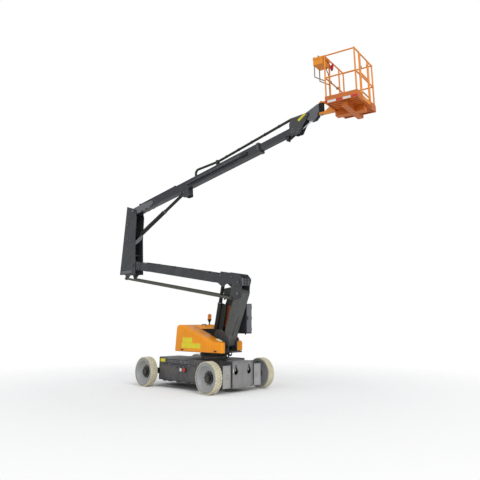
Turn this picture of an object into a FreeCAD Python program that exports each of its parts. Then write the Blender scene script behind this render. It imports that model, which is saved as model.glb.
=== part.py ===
import FreeCAD, Part
import math
import os
import re

from FreeCAD import Placement, Rotation, Vector

# Articulating boom lift: four solid-tyred wheels, a slewing turntable, a two-arm riser,
# an upright, a telescoping boom and a work platform.
# Millimetres. +X is the way the boom points, +Z is up, and the origin is on the ground
# under the slew axis. "near" is the -Y side and "far" the +Y side.

# name, value, what it is
SIZES = [
    ("pin_fit", 0.05, "radial clearance of a pin in its hole"),
    ("side_gap", 6, "clearance between plates that swing past each other"),
    ("face_gap", 0.5, "clearance between faces that slide on each other"),
    ("wheelbase", 2200, "front axle to rear axle"),
    ("front_axle_x", 730, "front axle ahead of the slew axis"),
    ("track", 1660, "between the tyres' middles"),
    ("tyre_radius", 330, "outside of the tyre"),
    ("tyre_width", 190, "width of the tyre"),
    ("tyre_inner_radius", 272, "seat of the tyre on the rim"),
    ("tyre_shoulder", 22, "chamfer of the tyre's shoulder"),
    ("rim_width", 170, "width of the rim"),
    ("rim_wall", 12, "thickness of the rim's barrel and disc"),
    ("rim_disc_offset", 30, "disc inside the wheel's middle plane"),
    ("hub_radius", 78, "hub boss"),
    ("hub_reach", 48, "hub boss outside the wheel's middle plane"),
    ("spindle_radius", 43, "wheel spindle"),
    ("spindle_reach", 15, "spindle outside the wheel's middle plane"),
    ("flange_radius", 110, "drive housing behind the wheel"),
    ("flange_thick", 18, "drive housing's thickness"),
    ("flange_back", 118, "drive housing's back, inside the wheel's middle plane"),
    ("kingpin_y", 655, "kingpin axis from the middle"),
    ("kingpin_radius", 30, "kingpin"),
    ("knuckle_radius", 45, "knuckle barrel and fork ear"),
    ("fork_height", 210, "axle fork over its two ears"),
    ("fork_ear", 25, "thickness of a fork ear"),
    ("fork_block", 60, "solid end of the front beam behind a fork"),
    ("beam_size", 120, "height and depth of an axle beam"),
    ("beam_half", 598, "half length of the front beam"),
    ("rear_beam_half", 640, "half length of the rear beam"),
    ("frame_half", 310, "half width of the chassis frame"),
    ("frame_bottom", 110, "underside of the chassis frame"),
    ("frame_top", 632, "top of the chassis frame"),
    ("rear_overhang", 180, "chassis frame behind the rear axle"),
    ("front_overhang", 188, "chassis frame ahead of the front axle"),
    ("frame_wall", 12, "plate of the chassis frame"),
    ("front_plate_half", 318, "half width of the front plate"),
    ("front_plate_bottom", 95, "underside of the front plate"),
    ("front_plate_top", 640, "top of the front plate"),
    ("tie_hole_y", 205, "tie-down hole from the middle"),
    ("tie_hole_z", 425, "centre of the tie-down hole's lower arc"),
    ("tie_hole_radius", 62, "lower arc of the tie-down hole"),
    ("tie_slot_radius", 22, "upper arc of the tie-down hole"),
    ("tie_slot_rise", 120, "upper arc above the lower arc"),
    ("tie_way_half", 72, "half width of the opening behind a tie-down hole"),
    ("tie_way_bottom", 352, "underside of the opening behind a tie-down hole"),
    ("tie_way_height", 226, "height of the opening behind a tie-down hole"),
    ("guard_inner", 370, "inner edge of a guard plate"),
    ("guard_outer", 600, "outer edge of a guard plate"),
    ("guard_bottom", 105, "underside of a guard plate"),
    ("guard_top", 560, "top of a guard plate"),
    ("guard_arm_in", 50, "guard's arm from the guard's inner edge"),
    ("guard_arm_width", 80, "width of a guard's arm"),
    ("deck_half", 680, "half width of the deck"),
    ("deck_rear_gap", 340, "rear axle to the deck's rear end"),
    ("deck_front_gap", 400, "deck's front end to the front axle"),
    ("deck_plate", 8, "thickness of the deck plate"),
    ("deck_skirt", 87, "height of the deck's folded skirt"),
    ("box_rear_gap", 350, "rear axle to a battery box"),
    ("box_front_gap", 430, "battery box to the front axle"),
    ("side_box_outer", 700, "outer face of a battery box"),
    ("side_box_bottom", 175, "underside of a battery box"),
    ("side_box_top", 540, "top of a battery box"),
    ("side_box_wall", 5, "sheet of a battery box"),
    ("battery_height", 270, "height of the battery block"),
    ("battery_margin", 30, "battery block to the box wall"),
    ("slew_base_radius", 290, "fixed race of the slew bearing"),
    ("slew_ring_radius", 320, "turning race of the slew bearing"),
    ("slew_split", 720, "joint between the races"),
    ("slew_top", 800, "top of the turning race"),
    ("base_plate", 30, "turntable base plate"),
    ("base_rear", -720, "rear end of the base plate"),
    ("base_front", 700, "front end of the base plate"),
    ("base_half", 215, "half width of the base plate"),
    ("cheek_rear", 590, "foot of the cheek plates behind the lower arm's foot pin"),
    ("cheek_front", 150, "front edge of the cheek plates ahead of the lower arm's foot pin"),
    ("cheek_waist", 510, "rear corner of the cheek plates behind the lower arm's foot pin"),
    ("weight_rear", -636, "rear face of the counterweight"),
    ("weight_front", -250, "front face of the counterweight"),
    ("weight_half", 570, "half width of the counterweight"),
    ("weight_top", 1190, "top of the counterweight"),
    ("hood_inner", 225, "inner side of a hood"),
    ("hood_outer", 620, "outer side of a hood"),
    ("hood_wall", 8, "wall of a hood"),
    ("hinge_radius", 10, "barrel of a hood's hinge"),
    ("hinge_pin", 6, "pin of a hood's hinge"),
    ("hinge_height", 60, "barrel of a hood's hinge"),
    ("hinge_out", 12, "hinge axis outside the hood's rear inner corner"),
    ("hinge_low", 880, "underside of the lower hinge barrel"),
    ("hinge_high", 1120, "underside of the upper hinge barrel"),
    ("hinge_ear", 20, "ear that carries a hinge pin"),
    ("ear_margin", 4, "hinge ear beyond its barrel"),
    ("leaf_low", 28, "lower hinge leaf from its pin to the hood's rear"),
    ("leaf_high", 45, "upper hinge leaf from its pin to the hood's rear"),
    ("hood_bottom", 810, "underside of the hoods"),
    ("hood_top", 1395, "highest line of the hoods"),
    ("hood_rear", -690, "rear end of the hoods"),
    ("hood_nose_top", 1035, "top of a hood's nose"),
    ("near_hood_front", 885, "front end of the near hood"),
    ("far_hood_front", 330, "front end of the far hood"),
    ("near_hood_slope", 325, "near hood's slope end behind its front"),
    ("far_hood_slope", 160, "far hood's slope end behind its front"),
    ("hood_crown", 220, "hood's rear end to the start of its slope"),
    ("hood_lean", 48, "lean of the hood's rear wall"),
    ("hood_round", 120, "radius of the hood's crown"),
    ("hood_nose_round", 60, "radius of the hood's nose"),
    ("hood_rear_round", 85, "radius of the hood's top rear edge"),
    ("hood_clip_x", 480, "start of the near hood's slanted front end"),
    ("hood_clip_turn", -35, "near hood's slanted end against the length of the machine"),
    ("hood_clip_length", 700, "room cut away beside the slanted end"),
    ("cover_front", -200, "front edge of the cover between the hoods"),
    ("cover_half", 214, "half width of the cover between the hoods"),
    ("cabinet_rear", 472, "rear face of the control cabinet"),
    ("cabinet_depth", 340, "cabinet along X"),
    ("cabinet_inner", 250, "inner face of the cabinet"),
    ("cabinet_width", 170, "cabinet along Y"),
    ("cabinet_bottom", 1223, "underside of the cabinet"),
    ("cabinet_height", 640, "height of the cabinet"),
    ("cabinet_wall", 3, "sheet of the cabinet"),
    ("post_size", 60, "post that carries the cabinet"),
    ("post_x", 345, "rear face of the cabinet's post"),
    ("post_y", 232, "inner face of the cabinet's post"),
    ("shelf_thick", 20, "shelf under the cabinet"),
    ("weld_depth", 10, "reach of a welded part into its neighbour"),
    ("beacon_x", -540, "beacon axis"),
    ("beacon_y", 330, "beacon axis"),
    ("beacon_height", 258, "height of the beacon"),
    ("beacon_radius", 48, "lens of the beacon"),
    ("beacon_foot_low", 16, "foot of the beacon at its base"),
    ("beacon_foot_high", 52, "foot of the beacon under its lens"),
    ("beacon_foot", 125, "height of the beacon's foot"),
    ("eye_x", 640, "lifting eye"),
    ("eye_y", -200, "lifting eye"),
    ("eye_radius", 58, "outside of the lifting eye"),
    ("eye_hole", 30, "hole of the lifting eye"),
    ("arm_half", 120, "half width of the riser arms"),
    ("arm_wall", 10, "plate of the riser arms"),
    ("cheek", 16, "thickness of the plates that carry the arms"),
    ("pin_radius", 35, "main pins of the riser"),
    ("foot_x", 470, "lower arm's foot pin"),
    ("foot_z", 1000, "lower arm's foot pin"),
    ("lower_length", 1164, "lower arm between its pins"),
    ("lower_angle", 68, "lower arm above the horizontal"),
    ("lower_foot_half", 85, "half depth of the lower arm at its foot"),
    ("lower_top_half", 115, "half depth of the lower arm at its top"),
    ("arm_cap", 85, "lower arm beyond its top pin"),
    ("arm_core", 60, "solid ends of the lower arm, from its pins"),
    ("tie_back", 135, "lower link's pin behind the arm's pin"),
    ("tie_up", 210, "lower link's pin above the arm's pin"),
    ("tie_half", 45, "half depth of the lower link at its pins"),
    ("tie_bulge", 195, "lower link's plate behind its pins"),
    ("tie_flare", 250, "lower link's rear corners from its pins"),
    ("tie_rim", 12, "wall of the lower link's edges"),
    ("tie_inner", 20, "lower link's near face"),
    ("tie_outer", 110, "lower link's far face"),
    ("link_gap", 10, "upper links and their stubs beyond the cheek and knee plates"),
    ("knee_x", 40, "upper arm's pin ahead of the lower arm's top pin"),
    ("knee_z", 265, "upper arm's pin above the lower arm's top pin"),
    ("link_back", 255, "upper link's pin behind the upper arm's pin"),
    ("link_down", 360, "upper link's pin below the upper arm's pin"),
    ("link_height", 56, "depth of the upper link"),
    ("link_thick", 24, "thickness of the upper link"),
    ("link_pin_radius", 22, "upper link's pins"),
    ("upper_length", 4295, "upper arm between its pins"),
    ("upper_angle", 8.8, "upper arm above the horizontal"),
    ("upper_half", 105, "half depth of the upper arm"),
    ("upper_box_start", 650, "upper arm's box from its knee pin"),
    ("upper_core", 200, "solid rear end of the upper arm, from its pin"),
    ("spacer_length", 90, "spacer between the upper arm and a gusset"),
    ("doubler_length", 330, "doubler plate on the upper arm's rear end"),
    ("doubler_start", 100, "doubler plate from the upper arm's rear pin"),
    ("doubler_thick", 8, "doubler plate on the upper arm's rear end"),
    ("arm_notch", 160, "open end of the upper arm, round the riser cylinder's eye"),
    ("gusset_thick", 12, "plate of the upper arm's gussets"),
    ("lobe_back", 606, "riser cylinder's upper pin behind the knee pin"),
    ("lobe_up", 26, "riser cylinder's upper pin above the knee pin"),
    ("upright_back", 625, "foot of the upright behind the upper arm's rear pin"),
    ("upright_ahead", 130, "foot of the upright ahead of the upper arm's rear pin"),
    ("upright_down", 265, "foot of the upright below the upper arm's rear pin"),
    ("upright_rise", 25, "rise of the upright's foot towards the rear"),
    ("upright_front", 20, "front edge of the upright ahead of the upper arm's rear pin"),
    ("upright_flare", 730, "top of the upright's flared foot above the upper arm's rear pin"),
    ("upright_neck", 190, "front edge's corner below the boom's hinge"),
    ("upright_lip", 85, "upright ahead of the boom's hinge"),
    ("upright_lip_up", 50, "upright's front corner above the boom's hinge"),
    ("upright_head_back", 325, "top rear corner of the upright behind the boom's hinge"),
    ("upright_head_up", 175, "top rear corner of the upright above the boom's hinge"),
    ("web_margin", 10, "rear edge of the upright to its web"),
    ("web_thick", 25, "rear web of the upright"),
    ("web_short", 35, "web's end to the upright's top corner"),
    ("tie_rod_back", 150, "tie of the upright behind the upper arm's rear pin"),
    ("tie_rod_up", 295, "tie of the upright above the upper arm's rear pin"),
    ("riser_foot_back", 420, "riser cylinder's lower pin behind the lower arm's foot pin"),
    ("riser_foot_down", 15, "riser cylinder's lower pin below the lower arm's foot pin"),
    ("riser_cyl_y", -50, "riser cylinder's axis"),
    ("riser_eye_half", 30, "half width of the riser cylinder's lower eye"),
    ("riser_top_half", 46, "half width of the riser cylinder's upper eye"),
    ("riser_pin_radius", 24, "riser cylinder's lower pin"),
    ("lug_gap", 4, "lug beside a cylinder's eye"),
    ("lug_radius", 46, "round end of the riser cylinder's lugs"),
    ("riser_barrel_radius", 57, "riser cylinder's barrel"),
    ("riser_barrel_length", 930, "riser cylinder's barrel from its pin"),
    ("riser_rod_radius", 44, "riser cylinder's rod"),
    ("riser_rod_length", 1050, "riser cylinder's rod from its eye"),
    ("riser_neck", 110, "riser cylinder's lower eye to its tube"),
    ("riser_eye_radius", 52, "riser cylinder's upper eye"),
    ("rod_bore_gap", 0.3, "rod to barrel bore"),
    ("gland_step", 3, "gland proud of the barrel"),
    ("gland_length", 50, "gland along the barrel"),
    ("boom_pivot_back", 161.6, "boom's hinge behind the upper arm's rear pin"),
    ("boom_pivot_up", 1588.68, "boom's hinge above the upper arm's rear pin"),
    ("boom_angle", 10, "boom above the horizontal"),
    ("outer_half_depth", 110, "outer boom section"),
    ("outer_half_width", 85, "outer boom section"),
    ("outer_length", 5080, "outer boom section"),
    ("boom_wall", 6, "plate of the boom"),
    ("boom_tail", 60, "outer section behind the hinge"),
    ("boom_tail_solid", 40, "solid end of the outer section, ahead of the hinge"),
    ("mouth_length", 200, "bearing of the outer section's mouth"),
    ("hinge_tube_radius", 62, "tube round the boom's hinge pin"),
    ("collar", 12, "collar round the outer section's mouth"),
    ("collar_length", 80, "collar along the boom"),
    ("fly_half_depth", 80, "fly section"),
    ("fly_half_width", 62, "fly section"),
    ("fly_tail", 1890, "fly section's rear end from the hinge"),
    ("fly_pad_length", 80, "slide pads on the fly section's rear end"),
    ("fly_out", 1000, "fly section's front end beyond the outer section's mouth"),
    ("lift_foot_back", 201.6, "boom cylinder's lower pin behind the upper arm's rear pin"),
    ("lift_foot_up", 718.68, "boom cylinder's lower pin above the upper arm's rear pin"),
    ("lift_top_s", 2140, "boom cylinder's upper pin along the boom"),
    ("lift_top_d", 165, "boom cylinder's upper pin below the boom's axis"),
    ("lift_barrel_radius", 52, "boom cylinder's barrel"),
    ("lift_barrel_length", 1570, "boom cylinder's barrel from its pin"),
    ("lift_rod_radius", 44, "boom cylinder's rod"),
    ("lift_rod_length", 1700, "boom cylinder's rod from its eye"),
    ("lift_neck", 200, "boom cylinder's lower eye to its tube"),
    ("lift_eye_half", 28, "half width of the boom cylinder's lower eye"),
    ("lift_ear_gap", 6, "upright's ears beside the boom cylinder's lower eye"),
    ("lift_ear_back", 330, "root of the upright's ears behind the boom cylinder's lower pin"),
    ("lift_ear_spread", 70, "root of the upright's ears above and below the boom cylinder's lower pin"),
    ("lift_ear_radius", 48, "round end of the upright's ears"),
    ("lift_top_half", 50, "half width of the boom cylinder's upper eye"),
    ("lift_pin_radius", 28, "boom cylinder's upper pin"),
    ("bracket_in", 66, "inner face of the boom cylinder's bracket plates"),
    ("bracket_rear", 60, "bracket behind the boom cylinder's upper pin"),
    ("bracket_front", 300, "bracket ahead of the boom cylinder's upper pin"),
    ("bracket_depth", 235, "bracket below the outer section"),
    ("lift_eye_radius", 47, "boom cylinder's upper eye"),
    ("head_ahead", 493.7, "levelling pin beyond the fly section's front end"),
    ("head_up", 166.01, "levelling pin above the boom's axis"),
    ("head_pin_radius", 28, "levelling pin"),
    ("head_pin_out", 10, "levelling pin beyond the head plates"),
    ("head_plate", 16, "head plates"),
    ("hose_radius", 32, "hose carrier tube"),
    ("hose_foot_s", 2700, "hose loop's foot along the boom"),
    ("hose_foot_d", 128, "hose loop's foot above the boom's axis"),
    ("hose_bend", 103, "radius of the hose loop's bend"),
    ("hose_sweep", 1500, "radius of the hose tube's bend at its clamp"),
    ("hose_end_bend", 60, "radius of the hose tube's last bend"),
    ("hose_drop", 143.7, "last straight run of the hose tube"),
    ("hose_clamp_margin", 12, "clamp beside the hose tube"),
    ("hose_clamp_length", 60, "clamp along the hose tube"),
    ("hose_loop_d", 312, "hose loop's height above the boom's axis"),
    ("hose_clamp_s", 3567, "clamp on the hose tube"),
    ("hose_clamp_d", 228, "hose tube at its clamp"),
    ("hose_end_out", 50, "front end of the hose tube beyond the fly section's front end"),
    ("hose_end_d", 310, "hose tube at its front end"),
    ("level_foot_in", 180, "levelling cylinder's lower pin behind the fly section's front end"),
    ("level_foot_d", 165, "levelling cylinder's lower pin below the boom's axis"),
    ("level_top_ahead", 100, "levelling cylinder's upper pin ahead of the levelling pin"),
    ("level_top_down", 125, "levelling cylinder's upper pin below the levelling pin"),
    ("level_barrel_radius", 26, "levelling cylinder's barrel"),
    ("level_barrel_length", 470, "levelling cylinder's barrel from its pin"),
    ("level_rod_radius", 14, "levelling cylinder's rod"),
    ("level_rod_length", 480, "levelling cylinder's rod from its eye"),
    ("level_neck", 40, "levelling cylinder's lower eye to its tube"),
    ("level_pin_radius", 12, "levelling cylinder's pins"),
    ("level_eye_half", 26, "half width of the levelling cylinder's lower eye"),
    ("level_top_half", 24, "half width of the levelling cylinder's upper eye"),
    ("level_lug_gap", 6, "fly section's lugs beside the levelling cylinder's lower eye"),
    ("level_lug_thick", 12, "fly section's lugs"),
    ("level_side_thick", 12, "side plates of the levelling bracket"),
    ("level_eye_radius", 18, "levelling cylinder's upper eye"),
    ("rotator_ahead", 345, "platform's turning axis ahead of the levelling pin"),
    ("rotator_radius", 60, "platform rotator"),
    ("rotator_down", 15, "rotator's underside below the levelling pin"),
    ("rotator_length", 210, "height of the rotator"),
    ("rotator_shaft", 25, "rotator's shaft"),
    ("rotator_shaft_out", 60, "rotator's shaft beyond the drum"),
    ("platform_turn", 10, "platform turned about the rotator"),
    ("floor_down", 70, "underside of the platform floor below the rotator"),
    ("floor_thick", 40, "top of the platform floor above its underside"),
    ("floor_sheet", 6, "floor plate and the walls of the beams under it"),
    ("floor_start", 355, "platform floor from the turning axis"),
    ("floor_length", 720, "platform along the boom"),
    ("floor_near", -580, "platform's near edge"),
    ("floor_width", 1040, "platform across"),
    ("keel_width", 150, "beam under the floor along the boom"),
    ("keel_depth", 110, "beams below the floor's underside"),
    ("keel_short", 60, "beam under the floor, short of the floor's front edge"),
    ("cross_start", 330, "cross beam from the floor's rear edge"),
    ("cross_width", 130, "cross beam under the floor"),
    ("cross_short", 80, "cross beam's end to the floor's side edge"),
    ("rail_height", 1120, "top rail above the floor's underside"),
    ("rail_radius", 17, "rail tube"),
    ("rail_step", 0.6, "difference between crossing tubes"),
    ("mid_rail_height", 590, "middle rail"),
    ("toe_height", 155, "toe board"),
    ("toe_thick", 4, "toe board's sheet"),
    ("gate_start", 290, "gate's first post from the near corner"),
    ("gate_width", 480, "gate between its posts"),
    ("gate_gap", 8, "gate to its posts"),
    ("gate_low_bar", 190, "lowest bar of the gate above the floor"),
    ("gate_foot", 40, "gate above the floor"),
    ("gate_bar_step", 60, "extra gate bar above the middle rail"),
    ("gate_ring", 9, "wall of the gate's hinge rings"),
    ("gate_ring_height", 30, "gate's hinge rings"),
    ("gate_fit", 0.1, "radial clearance of the gate's hinge rings"),
    ("gate_ring_low", 130, "lower hinge ring above the floor"),
    ("gate_ring_high", 120, "upper hinge ring below the top rail"),
    ("post_near", 230, "rear side's near post from the corner post"),
    ("post_far", 250, "rear side's far post from the corner post"),
    ("console_height", 172, "platform console"),
    ("console_length", 225, "platform console along the boom"),
    ("console_width", 310, "platform console across"),
    ("console_lid", 46, "height of the console's lid"),
    ("console_lip", 6, "console's lid beyond its body"),
    ("console_out", 240, "console's outer face from the platform"),
    ("console_in", 10, "console from the platform's near edge"),
    ("console_tube", 12, "tubes of the console's frame"),
    ("console_drop", 248, "console's frame below the console"),
    ("console_slope", 150, "fall of the console's frame towards the platform"),
    ("console_tube_inset", 30, "console's frame inside the console's ends"),
    ("mount_half", 60, "half width of the platform mount's arms"),
    ("mount_lower", 34, "lower arm of the platform mount"),
    ("mount_upper", 20, "upper arm of the platform mount"),
    ("mount_gap", 6, "platform mount to the rotator"),
    ("mount_wall_thick", 14, "wall of the platform mount"),
    ("mount_wall_half", 180, "half width of the platform mount's wall"),
    ("steel_pin_head", 14, "pin beyond the outer plate"),
]

doc = FreeCAD.newDocument("BoomLift")
sheet = doc.addObject("Spreadsheet::Sheet", "Sizes")
VALUE = {}
for row, (alias, number, meaning) in enumerate(SIZES, start=1):
    sheet.set("A%d" % row, alias)
    sheet.set("B%d" % row, str(number))
    sheet.set("C%d" % row, meaning)
    sheet.setAlias("B%d" % row, alias)
    VALUE[alias] = float(number)
doc.recompute()

NODES = []


# Places along the machine that are sums of sizes
SUMS = {
    "rear_axle_x": "front_axle_x-wheelbase",
    "frame_rear": "rear_axle_x-rear_overhang",
    "frame_front": "front_axle_x+front_overhang",
    "deck_rear": "rear_axle_x+deck_rear_gap",
    "deck_front": "front_axle_x-deck_front_gap",
    "side_box_rear": "rear_axle_x+box_rear_gap",
    "side_box_front": "front_axle_x-box_front_gap",
    "riser_foot_x": "foot_x-riser_foot_back",
    "riser_foot_z": "foot_z-riser_foot_down",
    "fly_end": "outer_length+fly_out",
    "hose_end_s": "fly_end+hose_end_out",
    "level_foot_s": "fly_end-level_foot_in",
    "head_s": "fly_end+head_ahead",
}
# Places that need the arms' angles, filled in below
PLACES = {}


def total(text):
    """The value of a sum of names, such as fly_end+hose_end_out."""
    result = 0
    for sign, name in re.findall(r"([+-]?)([a-z_]+)", text):
        result += -number(name) if sign == "-" else number(name)
    return result


def number(name):
    if name in SUMS:
        return total(SUMS[name])
    return PLACES[name] if name in PLACES else VALUE[name]


class Sheet:
    """Sizes and places, read by name."""

    def __getattr__(self, name):
        return number(name)


S = Sheet()


def formula(text):
    """An expression with each size's name pointed at the sheet."""
    def word(match):
        name = match.group(0)
        if name in SUMS:
            return "(%s)" % formula(SUMS[name])
        if name in PLACES:
            return "(%.6f)" % PLACES[name]
        return "Sizes." + name if name in VALUE else name

    return re.sub(r"[a-z_]+", word, str(text))


def bind(feature, **properties):
    for name, text in properties.items():
        feature.setExpression(name, formula(text))
    return feature


def move(feature, x, y, z):
    """Bind a feature's place to the sheet."""
    for axis, text in zip("xyz", (x, y, z)):
        feature.setExpression("Placement.Base." + axis, formula(text))
    return feature


def box(name, length, width, height, x, y, z):
    return move(bind(doc.addObject("Part::Box", name), Length=length, Width=width, Height=height), x, y, z)


TURN = {
    "z": Rotation(),
    "y": Rotation(Vector(1, 0, 0), -90),
    "-y": Rotation(Vector(1, 0, 0), 90),
    "x": Rotation(Vector(0, 1, 0), 90),
}


def rod(name, radius, length, x, y, z, along="z"):
    """A cylinder that starts at x, y, z and runs along an axis."""
    feature = bind(doc.addObject("Part::Cylinder", name), Radius=radius, Height=length)
    feature.Placement = Placement(Vector(), TURN[along])
    return move(feature, x, y, z)


def fuse(name, *parts):
    feature = doc.addObject("Part::MultiFuse", name)
    feature.Shapes = list(parts)
    return feature


def cut(name, base, *tools):
    feature = doc.addObject("Part::Cut", name)
    feature.Base = base
    feature.Tool = tools[0] if len(tools) == 1 else fuse(name + "_tools", *tools)
    return feature


def rounded(corners):
    """Lines and arcs round a polygon of (x, z, radius) corners."""
    count = len(corners)
    ends = []
    arcs = []
    for i in range(count):
        x, z, radius = corners[i]
        here = Vector(x, z, 0)
        back = (Vector(*corners[i - 1][:2], 0) - here).normalize()
        ahead = (Vector(*corners[(i + 1) % count][:2], 0) - here).normalize()
        half = math.acos(max(-1, min(1, back.dot(ahead)))) / 2
        if radius <= 0:
            ends.append((here, here))
            arcs.append(None)
            continue
        reach = radius / math.tan(half)
        middle = here + (back + ahead).normalize() * (radius / math.sin(half))
        start = here + back * reach
        stop = here + ahead * reach
        ends.append((start, stop))
        arcs.append((middle, radius, start, stop, back.cross(ahead).z < 0))
    edges = []
    for i in range(count):
        if arcs[i]:
            middle, radius, start, stop, forward = arcs[i]
            first, last = (start, stop) if forward else (stop, start)
            a = math.atan2(first.y - middle.y, first.x - middle.x)
            b = math.atan2(last.y - middle.y, last.x - middle.x)
            if b < a:
                b += 2 * math.pi
            edges.append(Part.ArcOfCircle(Part.Circle(middle, Vector(0, 0, 1), radius), a, b))
        first = ends[i][1]
        last = ends[(i + 1) % count][0]
        if (last - first).Length > 1e-4:
            edges.append(Part.LineSegment(first, last))
    return edges


def hull(circles):
    """Lines and arcs round circles (x, z, radius) given anticlockwise."""
    count = len(circles)
    normals = []
    for i in range(count):
        x0, z0, r0 = circles[i]
        x1, z1, r1 = circles[(i + 1) % count]
        run = math.hypot(x1 - x0, z1 - z0)
        normals.append(math.atan2(z1 - z0, x1 - x0) - math.acos((r0 - r1) / run))
    edges = []
    for i in range(count):
        x0, z0, r0 = circles[i]
        x1, z1, r1 = circles[(i + 1) % count]
        a = normals[i - 1]
        b = normals[i]
        while b < a:
            b += 2 * math.pi
        edges.append(Part.ArcOfCircle(Part.Circle(Vector(x0, z0, 0), Vector(0, 0, 1), r0), a, b))
        first = Vector(x0 + r0 * math.cos(b), z0 + r0 * math.sin(b), 0)
        last = Vector(x1 + r1 * math.cos(b), z1 + r1 * math.sin(b), 0)
        edges.append(Part.LineSegment(first, last))
    return edges


def course(corners):
    """An open wire through (x, z, radius) corners, as lines and tangent arcs in the XZ plane."""
    edges = []
    last = Vector(corners[0][0], 0, corners[0][1])
    for i in range(1, len(corners)):
        here = Vector(corners[i][0], 0, corners[i][1])
        if i + 1 == len(corners):
            edges.append(Part.LineSegment(last, here).toShape())
            break
        ahead = Vector(corners[i + 1][0], 0, corners[i + 1][1])
        back = (last - here).normalize()
        front = (ahead - here).normalize()
        half = back.getAngle(front) / 2
        radius = corners[i][2]
        start = here + back * (radius / math.tan(half))
        stop = here + front * (radius / math.tan(half))
        lift = (back + front).normalize()
        crown = here + lift * (radius / math.sin(half) - radius)
        edges.append(Part.LineSegment(last, start).toShape())
        edges.append(Part.Arc(start, crown, stop).toShape())
        last = stop
    return Part.Wire(edges)


def plane(body, role):
    return [f for f in body.Origin.OriginFeatures if f.Role == role][0]


def plate(name, edges, y0, y1, holes=()):
    """A plate cut to an outline in X and Z, from width y0 to y1, with round holes."""
    body = doc.addObject("PartDesign::Body", name)
    sketch = body.newObject("Sketcher::SketchObject", name + "_outline")
    sketch.AttachmentSupport = (plane(body, "XZ_Plane"), [""])
    sketch.MapMode = "FlatFace"
    for edge in edges:
        sketch.addGeometry(edge)
    for x, z, radius in holes:
        sketch.addGeometry(Part.Circle(Vector(x, z, 0), Vector(0, 0, 1), radius))
    pad = body.newObject("PartDesign::Pad", name + "_pad")
    pad.Profile = sketch
    bind(pad, Length="(%s)-(%s)" % (y1, y0))
    body.Tip = pad
    return move(body, "0", y1, "0")


def pair(name, edges, inner, thick, holes=()):
    """The same plate on both sides of the middle."""
    far = plate(name + "_far", edges, inner, "%s+%s" % (inner, thick), holes)
    near = plate(name + "_near", edges, "-(%s)-(%s)" % (inner, thick), "-(%s)" % inner, holes)
    return far, near


def turned(name, outline):
    """A ring turned about its own Z axis from (radius, height) points."""
    body = doc.addObject("PartDesign::Body", name)
    sketch = body.newObject("Sketcher::SketchObject", name + "_outline")
    sketch.AttachmentSupport = (plane(body, "XZ_Plane"), [""])
    sketch.MapMode = "FlatFace"
    for i, (r, z) in enumerate(outline):
        r2, z2 = outline[(i + 1) % len(outline)]
        sketch.addGeometry(Part.LineSegment(Vector(r, z, 0), Vector(r2, z2, 0)))
    ring = body.newObject("PartDesign::Revolution", name + "_turn")
    ring.Profile = sketch
    ring.ReferenceAxis = (sketch, ["V_Axis"])
    ring.Angle = 360
    body.Tip = ring
    return body


def node(name, feature, place=None):
    """Name a finished sub-part and put it in its place."""
    feature.Label = name
    if place:
        feature.Placement = place
    NODES.append(feature)
    return feature


def lean(x, z, angle, y=0):
    """A place whose local X axis is raised by an angle."""
    return Placement(Vector(x, y, z), Rotation(Vector(0, 1, 0), -angle))


def along(x, z, angle, s, d):
    """The point at s along and d above a line raised by an angle."""
    a = math.radians(angle)
    return x + s * math.cos(a) - d * math.sin(a), z + s * math.sin(a) + d * math.cos(a)


def local(x0, z0, angle, x, z):
    """A point's place along and above a line raised by an angle."""
    a = math.radians(angle)
    return (x - x0) * math.cos(a) + (z - z0) * math.sin(a), (z - z0) * math.cos(a) - (x - x0) * math.sin(a)


# Pins worked out from the driving sizes
TOP_X, TOP_Z = along(S.foot_x, S.foot_z, S.lower_angle, S.lower_length, 0)
TIE_FOOT = (S.foot_x - S.tie_back, S.foot_z + S.tie_up)
TIE_TOP = (TOP_X - S.tie_back, TOP_Z + S.tie_up)
KNEE_X, KNEE_Z = TOP_X + S.knee_x, TOP_Z + S.knee_z
LINK_FRONT = (KNEE_X - S.link_back, KNEE_Z - S.link_down)
REACH_X = S.upper_length * math.cos(math.radians(S.upper_angle))
REACH_Z = S.upper_length * math.sin(math.radians(S.upper_angle))
REAR_X, REAR_Z = KNEE_X - REACH_X, KNEE_Z + REACH_Z
LINK_REAR = (REAR_X - S.link_back, REAR_Z - S.link_down)
LOBE = (KNEE_X - S.lobe_back, KNEE_Z + S.lobe_up)
PLACES["boom_pivot_x"] = REAR_X - S.boom_pivot_back
PLACES["boom_pivot_z"] = REAR_Z + S.boom_pivot_up
PLACES["lift_foot_x"] = REAR_X - S.lift_foot_back
PLACES["lift_foot_z"] = REAR_Z + S.lift_foot_up
BOOM = (S.boom_pivot_x, S.boom_pivot_z, S.boom_angle)
LIFT_TOP = along(*BOOM, S.lift_top_s, -S.lift_top_d)
LEVEL_FOOT = along(*BOOM, S.level_foot_s, -S.level_foot_d)
PLACES["head_x"], PLACES["head_z"] = along(*BOOM, S.head_s, S.head_up)
PLACES["level_top_x"] = S.head_x + S.level_top_ahead
PLACES["level_top_z"] = S.head_z - S.level_top_down
PLACES["rotator_x"] = S.head_x + S.rotator_ahead
PLACES["rotator_bottom"] = S.head_z - S.rotator_down
PLACES["rotator_top"] = S.rotator_bottom + S.rotator_length
PLACES["floor_bottom"] = S.rotator_bottom - S.floor_down
PLATE_IN = "arm_half+side_gap"
LINK_IN = "arm_half+side_gap+cheek+link_gap"
GUSSET_IN = "arm_half+side_gap+cheek+side_gap"


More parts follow.
